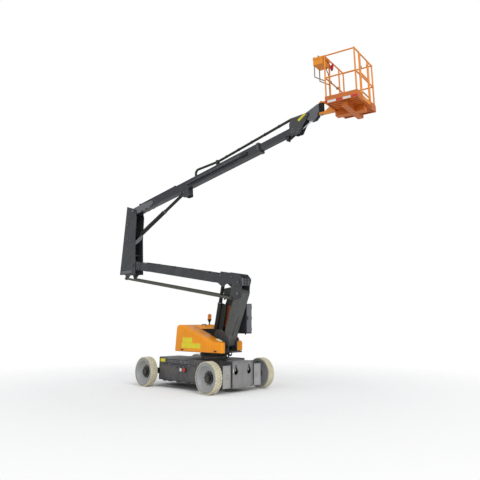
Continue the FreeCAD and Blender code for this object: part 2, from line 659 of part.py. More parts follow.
def wheels():
    """Solid tyres on deep-dished rims, one set for each corner."""
    half = S.tyre_width / 2
    shoulder = S.tyre_shoulder
    tyre_line = [
        (S.tyre_inner_radius, -half + shoulder / 2), (S.tyre_inner_radius + shoulder / 2, -half),
        (S.tyre_radius - shoulder, -half), (S.tyre_radius, -half + shoulder),
        (S.tyre_radius, half - shoulder), (S.tyre_radius - shoulder, half),
        (S.tyre_inner_radius + shoulder / 2, half), (S.tyre_inner_radius, half - shoulder / 2),
    ]
    wall = S.rim_wall
    edge = S.rim_width / 2
    disc = -S.rim_disc_offset
    bore = S.spindle_radius + S.pin_fit
    shell = S.tyre_inner_radius - wall
    floor_end = S.spindle_reach + S.face_gap
    rim_line = [
        (bore, disc - wall), (shell, disc - wall), (shell, -edge), (S.tyre_inner_radius, -edge),
        (S.tyre_inner_radius, edge), (shell, edge), (shell, disc), (S.hub_radius, disc),
        (S.hub_radius, S.hub_reach), (0, S.hub_reach), (0, floor_end), (bore, floor_end),
    ]
    for end, x in (("front", S.front_axle_x), ("rear", S.rear_axle_x)):
        for side, y, turn in (("near", -S.track / 2, "-y"), ("far", S.track / 2, "y")):
            place = Placement(Vector(x, y, S.tyre_radius), TURN[turn])
            node("tyre_%s_%s" % (end, side), turned("tyre_%s_%s" % (end, side), tyre_line), place)
            node("rim_%s_%s" % (end, side), turned("rim_%s_%s" % (end, side), rim_line), place)


def axles():
    """Front beam with forked ends, rear beam with fixed spindles, and the steering knuckles."""
    parts = [box("front_beam_bar", "beam_size", "2*beam_half", "beam_size",
                 "front_axle_x-beam_size/2", "-beam_half", "tyre_radius-beam_size/2")]
    holes = []
    for side, sign in (("near", "-"), ("far", "")):
        start = "beam_half-fork_block" if sign == "" else "-beam_half"
        parts.append(box("fork_block_" + side, "2*knuckle_radius", "fork_block", "fork_height",
                         "front_axle_x-knuckle_radius", start, "tyre_radius-fork_height/2"))
        for level, z in (("low", "tyre_radius-fork_height/2"), ("high", "tyre_radius+fork_height/2-fork_ear")):
            tag = side + "_" + level
            begin = "beam_half-fork_block" if sign == "" else "-kingpin_y"
            parts.append(box("fork_ear_" + tag, "2*knuckle_radius", "kingpin_y-beam_half+fork_block", "fork_ear",
                             "front_axle_x-knuckle_radius", begin, z))
            parts.append(rod("fork_round_" + tag, "knuckle_radius", "fork_ear",
                             "front_axle_x", sign + "kingpin_y", z))
        holes.append(rod("fork_hole_" + side, "kingpin_radius+pin_fit", "fork_height",
                         "front_axle_x", sign + "kingpin_y", "tyre_radius-fork_height/2"))
    node("front_axle", cut("front_axle", fuse("front_axle_body", *parts), *holes))
    rear = [box("rear_beam_bar", "beam_size", "2*rear_beam_half", "beam_size",
                "rear_axle_x-beam_size/2", "-rear_beam_half", "tyre_radius-beam_size/2")]
    for side, sign, turn in (("near", "-", "-y"), ("far", "", "y")):
        rear.append(rod("rear_flange_" + side, "flange_radius", "track/2-flange_back+flange_thick-rear_beam_half",
                        "rear_axle_x", sign + "rear_beam_half", "tyre_radius", turn))
        rear.append(rod("rear_spindle_" + side, "spindle_radius", "track/2+spindle_reach-rear_beam_half",
                        "rear_axle_x", sign + "rear_beam_half", "tyre_radius", turn))
    node("rear_axle", fuse("rear_axle", *rear))


def knuckles():
    """Steering knuckles with their kingpins, drive housings and spindles."""
    for side, sign, turn in (("near", "-", "-y"), ("far", "", "y")):
        name = "knuckle_" + side
        y = sign + "kingpin_y"
        barrel = rod(name + "_barrel", "knuckle_radius", "fork_height-2*fork_ear-2*side_gap",
                     "front_axle_x", y, "tyre_radius-fork_height/2+fork_ear+side_gap")
        kingpin = rod(name + "_kingpin", "kingpin_radius", "fork_height",
                      "front_axle_x", y, "tyre_radius-fork_height/2")
        spindle = rod(name + "_spindle", "spindle_radius", "track/2+spindle_reach-kingpin_y",
                      "front_axle_x", y, "tyre_radius", turn)
        flange = rod(name + "_flange", "flange_radius", "flange_thick",
                     "front_axle_x", sign + "(track/2-flange_back)", "tyre_radius", turn)
        node(name, fuse(name, barrel, kingpin, spindle, flange))


def chassis():
    """Hollow frame, front plates, deck, battery boxes and batteries."""
    length = "frame_front-frame_rear"
    outer = box("frame_outer", length, "2*frame_half", "frame_top-frame_bottom",
                "frame_rear", "-frame_half", "frame_bottom")
    inner = box("frame_inner", length, "2*frame_half-2*frame_wall", "frame_top-frame_bottom-2*frame_wall",
                "frame_rear+frame_wall", "-frame_half+frame_wall", "frame_bottom+frame_wall")
    openings = [
        box("beam_way_" + end, "beam_size", "2*frame_half", "beam_size",
            x + "-beam_size/2", "-frame_half", "tyre_radius-beam_size/2")
        for end, x in (("front", "front_axle_x"), ("rear", "rear_axle_x"))
    ]
    openings += [
        box("tie_way_" + side, "2*frame_wall", "2*tie_way_half", "tie_way_height",
            "frame_front-1.5*frame_wall", y + "-tie_way_half", "tie_way_bottom")
        for side, y in (("near", "-tie_hole_y"), ("far", "tie_hole_y"))
    ]
    node("chassis_frame", cut("chassis_frame", outer, inner, *openings))

    drops = []
    for side, sign in (("near", -1), ("far", 1)):
        y = sign * S.tie_hole_y
        drop = hull([(y, S.tie_hole_z, S.tie_hole_radius), (y, S.tie_hole_z + S.tie_slot_rise, S.tie_slot_radius)])
        drops.append((side, drop))
    blank = box("front_plate_blank", "frame_wall", "2*front_plate_half", "front_plate_top-front_plate_bottom",
                "frame_front", "-front_plate_half", "front_plate_bottom")
    tools = []
    for side, drop in drops:
        tool = plate("tie_hole_" + side, drop, "-frame_wall", "frame_wall")
        tool.Placement = Placement(Vector(), Rotation(Vector(0, 0, 1), 90))
        tools.append(move(tool, "frame_front-frame_wall/2", "0", "0"))
    node("front_plate", cut("front_plate", blank, *tools))

    guards = []
    for side, sign in (("near", "-"), ("far", "")):
        start = "guard_inner" if sign == "" else "-guard_outer"
        stub = "guard_inner+guard_arm_in" if sign == "" else "-guard_inner-guard_arm_in-guard_arm_width"
        guards.append(box("guard_" + side, "frame_wall", "guard_outer-guard_inner", "guard_top-guard_bottom",
                          "frame_front-frame_wall", start, "guard_bottom"))
        guards.append(box("guard_arm_" + side, "front_overhang-frame_wall-beam_size/2", "guard_arm_width",
                          "beam_size/2",
                          "front_axle_x+beam_size/2", stub, "tyre_radius-beam_size/4"))
    node("front_guards", fuse("front_guards", *guards))

    top = box("deck_top", "deck_front-deck_rear", "2*deck_half", "deck_plate", "deck_rear", "-deck_half", "frame_top")
    skirts = [
        box("deck_skirt_" + side, "deck_front-deck_rear", "deck_plate", "deck_skirt",
            "deck_rear", y, "frame_top-deck_skirt")
        for side, y in (("near", "-deck_half"), ("far", "deck_half-deck_plate"))
    ]
    node("deck", fuse("deck", top, *skirts))

    blocks = []
    for side, sign in (("near", "-"), ("far", "")):
        span = "side_box_outer-frame_half"
        start = "frame_half" if sign == "" else "-side_box_outer"
        shell = box("side_box_shell_" + side, "side_box_front-side_box_rear", span, "side_box_top-side_box_bottom",
                    "side_box_rear", start, "side_box_bottom")
        hollow = box("side_box_hollow_" + side, "side_box_front-side_box_rear-2*side_box_wall",
                     span + "-2*side_box_wall", "side_box_top-side_box_bottom-2*side_box_wall",
                     "side_box_rear+side_box_wall", start + "+side_box_wall", "side_box_bottom+side_box_wall")
        node("battery_box_" + side, cut("battery_box_" + side, shell, hollow))
        blocks.append(box("battery_block_" + side, "side_box_front-side_box_rear-2*battery_margin",
                          span + "-2*battery_margin", "battery_height", "side_box_rear+battery_margin",
                          start + "+battery_margin", "side_box_bottom+side_box_wall"))
    batteries = doc.addObject("Part::Compound", "batteries")
    batteries.Links = blocks
    node("batteries", batteries)
    node("slew_base", rod("slew_base", "slew_base_radius", "slew_split-face_gap-frame_top-deck_plate",
                          "0", "0", "frame_top+deck_plate"))


def hood(side, sign, front, slope):
    """A wedge-shaped hood, open underneath and towards the middle."""
    slope_end = front - slope
    line = [
        (S.hood_rear, S.hood_bottom, 40), (front, S.hood_bottom, 25),
        (front, S.hood_nose_top, S.hood_nose_round), (slope_end, S.hood_nose_top, S.hood_round),
        (S.hood_rear + S.hood_crown, S.hood_top, S.hood_round),
        (S.hood_rear + S.hood_lean, S.hood_top, S.hood_rear_round),
    ]
    wall = S.hood_wall
    core = [
        (S.hood_rear + wall, S.hood_bottom - 60, 0), (front - wall, S.hood_bottom - 60, 0),
        (front - wall, S.hood_nose_top - wall, S.hood_nose_round - wall), (slope_end, S.hood_nose_top - wall, S.hood_round),
        (S.hood_rear + S.hood_crown, S.hood_top - wall, S.hood_round),
        (S.hood_rear + S.hood_lean + wall, S.hood_top - wall, S.hood_rear_round - wall),
    ]
    if sign > 0:
        shell = plate("hood_shell_" + side, rounded(line), "hood_inner", "hood_outer")
        hollow = plate("hood_hollow_" + side, rounded(core), "hood_inner-hood_wall", "hood_outer-hood_wall")
    else:
        shell = plate("hood_shell_" + side, rounded(line), "-hood_outer", "-hood_inner")
        hollow = plate("hood_hollow_" + side, rounded(core), "hood_wall-hood_outer", "hood_wall-hood_inner")
    x = "hood_rear-hinge_out"
    y = ("hood_inner-hinge_out", "hinge_out-hood_inner")[sign < 0]
    leaf_y = "hood_inner-hinge_out" if sign > 0 else "-hood_inner-hinge_radius"
    parts = [cut("hood_skin_" + side, shell, hollow)]
    if sign < 0:
        corner = box("hood_corner", "hood_clip_length", "hood_clip_length", "2*hood_top-2*hood_bottom", "0", "0", "0")
        corner.Placement = Placement(Vector(), Rotation(Vector(0, 0, 1), S.hood_clip_turn))
        move(corner, "hood_clip_x", "-hood_inner", "hood_bottom-hood_round")
        parts = [cut("hood_slant", parts[0], corner)]
    holes = []
    for level in ("low", "high"):
        tag = side + "_" + level
        z = "hinge_" + level
        parts.append(rod("hood_barrel_" + tag, "hinge_radius", "hinge_height", x, y, z))
        parts.append(box("hood_leaf_" + tag, "leaf_" + level, "hinge_out+hinge_radius", "hinge_height", x, leaf_y, z))
        holes.append(rod("hood_hole_" + tag, "hinge_pin+pin_fit", "hinge_height", x, y, z))
    node("hood_" + side, cut("hood_" + side, fuse("hood_body_" + side, *parts), *holes))


def rear_cover():
    """The cover between the hoods, bent from sheet and open at its front, on the counterweight."""
    start = S.hood_rear + S.hood_crown
    fall = (S.hood_top - S.hood_nose_top) / (S.near_hood_front - S.near_hood_slope - start)
    low = S.hood_top - fall * (S.cover_front - start)
    wall = S.hood_wall
    sheet = plate("cover_sheet", rounded([
        (S.weight_rear, S.weight_top, 0), (S.weight_rear + wall, S.weight_top, 0),
        (S.weight_rear + wall, S.hood_top - wall, S.hood_rear_round - wall), (start, S.hood_top - wall, S.hood_round),
        (S.cover_front, low - wall, 0), (S.cover_front, low, 0), (start, S.hood_top, S.hood_round),
        (S.weight_rear, S.hood_top, S.hood_rear_round),
    ]), "-cover_half", "cover_half")
    roof = S.hood_top - fall * (S.weight_front - start) - wall / 2
    leg = box("cover_leg", "hood_wall", "2*cover_half", str(roof - S.weight_top), "weight_front-2*hood_wall",
              "-cover_half", "weight_top")
    node("rear_cover", fuse("rear_cover", sheet, leg))


def turntable():
    """Slewing base with the plates that carry the riser, its covers and what stands on it."""
    node("slew_ring", rod("slew_ring", "slew_ring_radius", "slew_top-slew_split", "0", "0", "slew_split"))
    base_top = S.slew_top + S.base_plate
    base = box("base_plate_block", "base_front-base_rear", "2*base_half", "base_plate",
               "base_rear", "-base_half", "slew_top")
    ear = box("post_ear", "post_size", "post_y+post_size-base_half+weld_depth", "base_plate",
              "post_x", "base_half-weld_depth", "slew_top")
    cheek_line = rounded([
        (S.foot_x - S.cheek_rear, base_top, 0), (S.foot_x + S.cheek_front, base_top, 0),
        (S.foot_x + S.cheek_front, S.foot_z + 40, 70), (TIE_FOOT[0] + 60, TIE_FOOT[1] + 90, 60),
        (TIE_FOOT[0] - 110, TIE_FOOT[1] + 80, 60), (S.foot_x - S.cheek_waist, S.foot_z, 80),
    ])
    fit = S.pin_radius + S.pin_fit
    arm_hole = (S.foot_x, S.foot_z, fit)
    cheeks = [
        plate("cheek_plate_far", cheek_line, PLATE_IN, PLATE_IN + "+cheek", [arm_hole, (TIE_FOOT[0], TIE_FOOT[1], fit)]),
        plate("cheek_plate_near", cheek_line, "-(%s)-cheek" % PLATE_IN, "-(%s)" % PLATE_IN, [arm_hole]),
    ]
    node("turntable_frame", fuse("turntable_frame", base, ear, *cheeks))
    block = box("weight_block", "weight_front-weight_rear", "2*weight_half", "weight_top-slew_top-base_plate",
                "weight_rear", "-weight_half", "slew_top+base_plate")
    ears = []
    for side, y, inner in (("near", "hinge_out-hood_inner", "hinge_out-hood_inner-hinge_radius"),
                           ("far", "hood_inner-hinge_out", "hood_inner-hinge_out-hinge_radius-ear_margin")):
        for level in ("low", "high"):
            tag = side + "_" + level
            z = "hinge_" + level + "-hinge_ear-side_gap"
            ears.append(box("hinge_ear_" + tag, "weight_rear-hood_rear+hinge_out+hinge_radius+ear_margin",
                            "2*hinge_radius+ear_margin",
                            "hinge_ear", "hood_rear-hinge_out-hinge_radius", inner, z))
            ears.append(rod("hinge_pin_" + tag, "hinge_pin", "hinge_ear+side_gap+hinge_height",
                            "hood_rear-hinge_out", y, z))
    node("counterweight", fuse("counterweight", block, *ears))
    rear_cover()
    hood("near", -1, S.near_hood_front, S.near_hood_slope)
    hood("far", 1, S.far_hood_front, S.far_hood_slope)
    case = box("cabinet_body", "cabinet_depth", "cabinet_width", "cabinet_height",
               "cabinet_rear", "cabinet_inner", "cabinet_bottom")
    inside = box("cabinet_inside", "cabinet_depth-2*cabinet_wall", "cabinet_width-2*cabinet_wall",
                 "cabinet_height-2*cabinet_wall", "cabinet_rear+cabinet_wall", "cabinet_inner+cabinet_wall",
                 "cabinet_bottom+cabinet_wall")
    node("cabinet", cut("cabinet", case, inside))
    leg = box("cabinet_leg", "post_size", "post_size", "cabinet_bottom-shelf_thick-slew_top-base_plate",
              "post_x", "post_y", "slew_top+base_plate")
    shelf = box("cabinet_shelf", "cabinet_rear+cabinet_depth-post_x", "cabinet_width+cabinet_inner-post_y",
                "shelf_thick", "post_x", "post_y", "cabinet_bottom-shelf_thick")
    node("cabinet_post", fuse("cabinet_stand", leg, shelf))
    foot = bind(doc.addObject("Part::Cone", "beacon_foot"), Radius1="beacon_foot_low", Radius2="beacon_foot_high",
                Height="beacon_foot")
    move(foot, "beacon_x", "beacon_y", "hood_top")
    lens = rod("beacon_lens", "beacon_radius", "beacon_height-beacon_foot", "beacon_x", "beacon_y", "hood_top+beacon_foot")
    node("beacon", fuse("beacon", foot, lens))
    ring = plate("eye_ring", rounded([
        (S.eye_x - S.eye_radius, S.slew_top, 0), (S.eye_x - S.eye_radius, S.slew_top - 2 * S.eye_radius, S.eye_radius - 1),
        (S.eye_x + S.eye_radius, S.slew_top - 2 * S.eye_radius, S.eye_radius - 1), (S.eye_x + S.eye_radius, S.slew_top, 0),
    ]), "eye_y-cheek/2", "eye_y+cheek/2", [(S.eye_x, S.slew_top - S.eye_radius, S.eye_hole)])
    node("lifting_eye", ring)


def lower_riser():
    """Lower arm, its parallel link, the knee plates and the riser cylinder."""
    place = lean(S.foot_x, S.foot_z, S.lower_angle)
    foot, top, length = S.lower_foot_half, S.lower_top_half, S.lower_length
    wall, cap, core = S.arm_wall, S.arm_cap, S.arm_core
    outer = plate("lower_arm_outer", rounded([
        (-foot, -foot, foot - 1), (length + cap, -top, 25), (length + cap, top, 25), (-foot, foot, foot - 1),
    ]), "-arm_half", "arm_half")
    inner = plate("lower_arm_inner", rounded([
        (core, -foot + wall, 0), (length - core, -top + wall, 0), (length - core, top - wall, 0), (core, foot - wall, 0),
    ]), "-arm_half+arm_wall", "arm_half-arm_wall")
    pins = [
        rod("lower_arm_pin_" + end, "pin_radius", "2*(arm_half+side_gap+cheek)+2*steel_pin_head",
            str(x), "-(arm_half+side_gap+cheek)-steel_pin_head", "0", "y")
        for end, x in (("foot", 0), ("top", length))
    ]
    c0 = local(S.foot_x, S.foot_z, S.lower_angle, S.riser_foot_x, S.riser_foot_z)
    lug_line = hull([(c0[0], c0[1], S.lug_radius), (10, 20, S.lug_radius), (120, 40, S.lug_radius)])
    lug_hole = [(c0[0], c0[1], S.riser_pin_radius + S.pin_fit)]
    lugs = [
        plate("riser_lug_a", lug_line, "riser_cyl_y-riser_eye_half-lug_gap-cheek",
              "riser_cyl_y-riser_eye_half-lug_gap", lug_hole),
        plate("riser_lug_b", lug_line, "riser_cyl_y+riser_eye_half+lug_gap",
              "riser_cyl_y+riser_eye_half+lug_gap+cheek", lug_hole),
    ]
    node("lower_arm", fuse("lower_arm", cut("lower_arm_beam", outer, inner), *(pins + lugs)), place)

    half, bulge = S.tie_half, S.tie_bulge
    fit = S.pin_radius + S.pin_fit
    flare, thin = S.tie_flare, half - S.tie_rim
    link_outer = plate("lower_link_outer", hull([
        (0, 0, half), (length, 0, half), (length - flare, bulge, half), (flare, bulge, half),
    ]), "tie_inner", "tie_outer")
    link_inner = plate("lower_link_inner", hull([
        (flare, 0, thin), (length - flare, 0, thin), (length - flare, bulge, thin), (flare, bulge, thin),
    ]), "tie_inner+arm_wall", "tie_outer-arm_wall")
    link_pins = [
        rod("lower_link_pin_foot", "pin_radius", "arm_half+side_gap+cheek+steel_pin_head-tie_inner+2", "0",
            "tie_inner-2", "0", "y"),
        rod("lower_link_pin_top", "pin_radius", "2*(arm_half+side_gap+cheek)", str(length),
            "-(arm_half+side_gap+cheek)", "0", "y"),
    ]
    node("lower_link", fuse("lower_link", cut("lower_link_beam", link_outer, link_inner), *link_pins),
         lean(TIE_FOOT[0], TIE_FOOT[1], S.lower_angle))

    knee_line = hull([
        (LINK_FRONT[0], LINK_FRONT[1], 52), (TOP_X + 20, TOP_Z, 82), (KNEE_X, KNEE_Z, 86), (TIE_TOP[0], TIE_TOP[1], 62),
    ])
    knee = pair("knee_plate", knee_line, PLATE_IN, "cheek", [(TOP_X, TOP_Z, fit), (TIE_TOP[0], TIE_TOP[1], fit)])
    knee_pin = rod("knee_pin", "pin_radius", "2*(%s+gusset_thick+steel_pin_head)" % GUSSET_IN,
                   str(KNEE_X), "-(%s)-gusset_thick-steel_pin_head" % GUSSET_IN, str(KNEE_Z), "y")
    front = box("knee_front", "16", "2*(arm_half+side_gap)", "170", str(KNEE_X + 45), "-(arm_half+side_gap)",
                str(KNEE_Z - 90))
    stubs = []
    for side, y in (("near", "-(%s)-link_thick-steel_pin_head" % LINK_IN), ("far", "arm_half+side_gap")):
        stubs.append(rod("link_stub_" + side, "link_pin_radius", "cheek+link_gap+link_thick+steel_pin_head",
                         str(LINK_FRONT[0]), y, str(LINK_FRONT[1]), "y"))
    node("knee", fuse("knee", knee[0], knee[1], knee_pin, front, *stubs))


def cylinder(name, foot, top, y, foot_half, foot_pin, eye_half, eye_pin):
    """A hydraulic cylinder: a barrel with its lower eye, and a rod with its upper eye."""
    angle = math.degrees(math.atan2(top[1] - foot[1], top[0] - foot[0]))
    span = math.hypot(top[0] - foot[0], top[1] - foot[1])
    place = lean(foot[0], foot[1], angle, y)
    size = name + "_"
    tube = rod(size + "tube", size + "barrel_radius", size + "barrel_length-" + size + "neck",
               size + "neck", "0", "0", "x")
    gland = rod(size + "gland", size + "barrel_radius+gland_step", "gland_length",
                size + "barrel_length-gland_length", "0", "0", "x")
    neck = box(size + "neck_bar", size + "neck+5", "2*(%s)" % foot_half, "1.5*" + size + "barrel_radius",
               "0", "-(%s)" % foot_half, "-0.75*" + size + "barrel_radius")
    foot_eye = rod(size + "foot_eye", size + "barrel_radius*0.85", "2*(%s)" % foot_half, "0",
                   "-(%s)" % foot_half, "0", "y")
    barrel = [tube, gland, neck, foot_eye]
    if foot_pin:
        barrel.append(rod(size + "foot_pin", foot_pin[0], "2*(%s)" % foot_pin[1], "0", "-(%s)" % foot_pin[1],
                          "0", "y"))
    bore = rod(size + "bore", size + "rod_radius+rod_bore_gap", size + "barrel_length",
               size + "neck+10", "0", "0", "x")
    node(name + "_cylinder_barrel", cut(name + "_cylinder_barrel", fuse(size + "body", *barrel), bore), place)
    shaft = rod(size + "shaft", size + "rod_radius", size + "rod_length", "%s-%srod_length" % (span, size), "0", "0", "x")
    eye = rod(size + "eye", size + "eye_radius", "2*(%s)" % eye_half, str(span), "-(%s)" % eye_half, "0", "y")
    ram = [shaft, eye]
    if eye_pin:
        ram.append(rod(size + "eye_pin", eye_pin[0], "2*(%s)" % eye_pin[1], str(span), "-(%s)" % eye_pin[1],
                       "0", "y"))
    node(name + "_cylinder_rod", fuse(name + "_cylinder_rod", *ram), place)


def upper_riser():
    """Upper arm with its gussets, and the pair of parallel links."""
    start, half, length = S.upper_box_start, S.upper_half, S.upper_length
    wall = S.arm_wall
    beam = box("upper_arm_outer", "upper_length-upper_box_start", "2*arm_half", "2*upper_half",
               "-upper_length", "-arm_half", "-upper_half")
    nose = rod("upper_arm_end", "upper_half", "2*arm_half", "-upper_length", "-arm_half", "0", "y")
    hollow = box("upper_arm_hollow", "upper_length-upper_box_start-upper_core-arm_wall", "2*(arm_half-arm_wall)",
                 "2*(upper_half-arm_wall)", "-upper_length+upper_core", "-arm_half+arm_wall", "-upper_half+arm_wall")
    notch = box("upper_arm_notch", "arm_notch", "2*(arm_half-arm_wall)", "2*upper_half",
                "-upper_box_start-arm_notch", "-arm_half+arm_wall", "-upper_half")
    rear_pin = rod("upper_arm_pin", "pin_radius", "2*(arm_half+side_gap+cheek+steel_pin_head)",
                   "-upper_length", "-(arm_half+side_gap+cheek+steel_pin_head)", "0", "y")
    # the gusset's corners behind and above the knee pin, and their radii
    outline = [
        (531, -102, 25), (415, -40, 60), (319, -22, 60), (138, -75, 60), (-60, -105, 75), (-105, 60, 70),
        (10, 175, 40), (590, 266, 20), (636, 216, 30), (756, 216, 40), (790, 69, 30),
    ]
    corners = []
    for back, up, radius in outline:
        corners.append(local(KNEE_X, KNEE_Z, -S.upper_angle, KNEE_X - back, KNEE_Z + up) + (radius,))
    gussets = pair("upper_gusset", rounded(corners), GUSSET_IN, "gusset_thick", [(0, 0, S.pin_radius + S.pin_fit)])
    spacers = []
    for side, y in (("near", "-(%s)" % GUSSET_IN), ("far", "arm_half")):
        spacers.append(box("gusset_spacer_" + side, "spacer_length", "side_gap+cheek+side_gap", "2*upper_half-20",
                           "-upper_box_start-spacer_length", y, "-upper_half+10"))
    doublers = []
    for side, y in (("near", "-arm_half-doubler_thick"), ("far", "arm_half")):
        doublers.append(box("rear_doubler_" + side, "doubler_length", "doubler_thick", "2*upper_half+2*doubler_thick",
                            "-upper_length+doubler_start+doubler_length", y, "-upper_half-doubler_thick"))
    body = cut("upper_arm_beam", fuse("upper_arm_skin", beam, nose), hollow, notch)
    node("upper_arm", fuse("upper_arm", body, rear_pin, *(list(gussets) + spacers + doublers)),
         lean(KNEE_X, KNEE_Z, -S.upper_angle))

    links = []
    for side, y in (("near", "-(%s)-link_thick" % LINK_IN), ("far", LINK_IN)):
        bar = box("upper_link_bar_" + side, "upper_length", "link_thick", "link_height",
                  "-upper_length", y, "-link_height/2")
        ends = [rod("upper_link_end_%s_%d" % (side, i), "link_height/2+8", "link_thick", x, y, "0", "y")
                for i, x in enumerate(("-upper_length", "0"))]
        holes = [rod("upper_link_hole_%s_%d" % (side, i), "link_pin_radius+pin_fit", "link_thick", x, y, "0", "y")
                 for i, x in enumerate(("-upper_length", "0"))]
        links.append(cut("upper_link_" + side, fuse("upper_link_body_" + side, bar, *ends), *holes))
    linked = doc.addObject("Part::Compound", "upper_link")
    linked.Links = links
    node("upper_link", linked, lean(LINK_FRONT[0], LINK_FRONT[1], -S.upper_angle))


def upright():
    """Two side plates with a rear web, the boom's hinge and the boom cylinder's lower pin."""
    x, z = S.boom_pivot_x, S.boom_pivot_z
    outline = rounded([
        (REAR_X - S.upright_back, REAR_Z - S.upright_down + S.upright_rise, 15),
        (REAR_X + S.upright_ahead, REAR_Z - S.upright_down, 15),
        (REAR_X + S.upright_front, REAR_Z + S.upright_flare, 200),
        (REAR_X + S.upright_front - 3, z - S.upright_neck, 80),
        (x + S.upright_lip, z + S.upright_lip_up, 70),
        (x - S.upright_head_back, z + S.upright_head_up, 15),
    ])
    fit = S.pin_radius + S.pin_fit
    holes = [(REAR_X, REAR_Z, fit), (x, z, fit)]
    sides = pair("upright_side", outline, PLATE_IN, "cheek", holes)
    lobe = hull([(LINK_REAR[0], LINK_REAR[1], 45), (REAR_X - 100, REAR_Z - 190, 60), (REAR_X - 330, REAR_Z - 160, 60)])
    lobes = pair("upright_lobe", lobe, PLATE_IN, "cheek")
    web_foot = (REAR_X - S.upright_back + S.web_margin, REAR_Z - S.upright_down + S.upright_rise + S.web_margin)
    web_top = (x - S.upright_head_back + S.web_margin / 2, z + S.upright_head_up - S.web_short)
    web = plate("upright_web", rounded([
        (*web_foot, 0), (web_foot[0] + S.web_thick, web_foot[1], 0),
        (web_top[0] + S.web_thick, web_top[1], 0), (*web_top, 0)]), "-(%s)" % PLATE_IN, PLATE_IN)
    tie = rod("upright_tie", "pin_radius", "2*(%s)" % PLATE_IN, str(REAR_X - S.tie_rod_back), "-(%s)" % PLATE_IN,
              str(REAR_Z + S.tie_rod_up), "y")
    ears = []
    root_x = S.lift_foot_x - S.lift_ear_back
    ear_line = hull([
        (root_x, S.lift_foot_z - S.lift_ear_spread, S.lift_ear_radius),
        (S.lift_foot_x, S.lift_foot_z, S.lift_ear_radius),
        (root_x, S.lift_foot_z + S.lift_ear_spread, S.lift_ear_radius),
    ])
    ears = pair("lift_ear", ear_line, "lift_eye_half+lift_ear_gap", "cheek")
    stubs = []
    for side, y in (("near", "-(%s)-link_thick-steel_pin_head" % LINK_IN), ("far", "arm_half+side_gap")):
        stubs.append(rod("rear_stub_" + side, "link_pin_radius", "cheek+link_gap+link_thick+steel_pin_head",
                         str(LINK_REAR[0]), y, str(LINK_REAR[1]), "y"))
    node("upright", fuse("upright", *(list(sides + lobes + ears) + [web, tie] + stubs)))


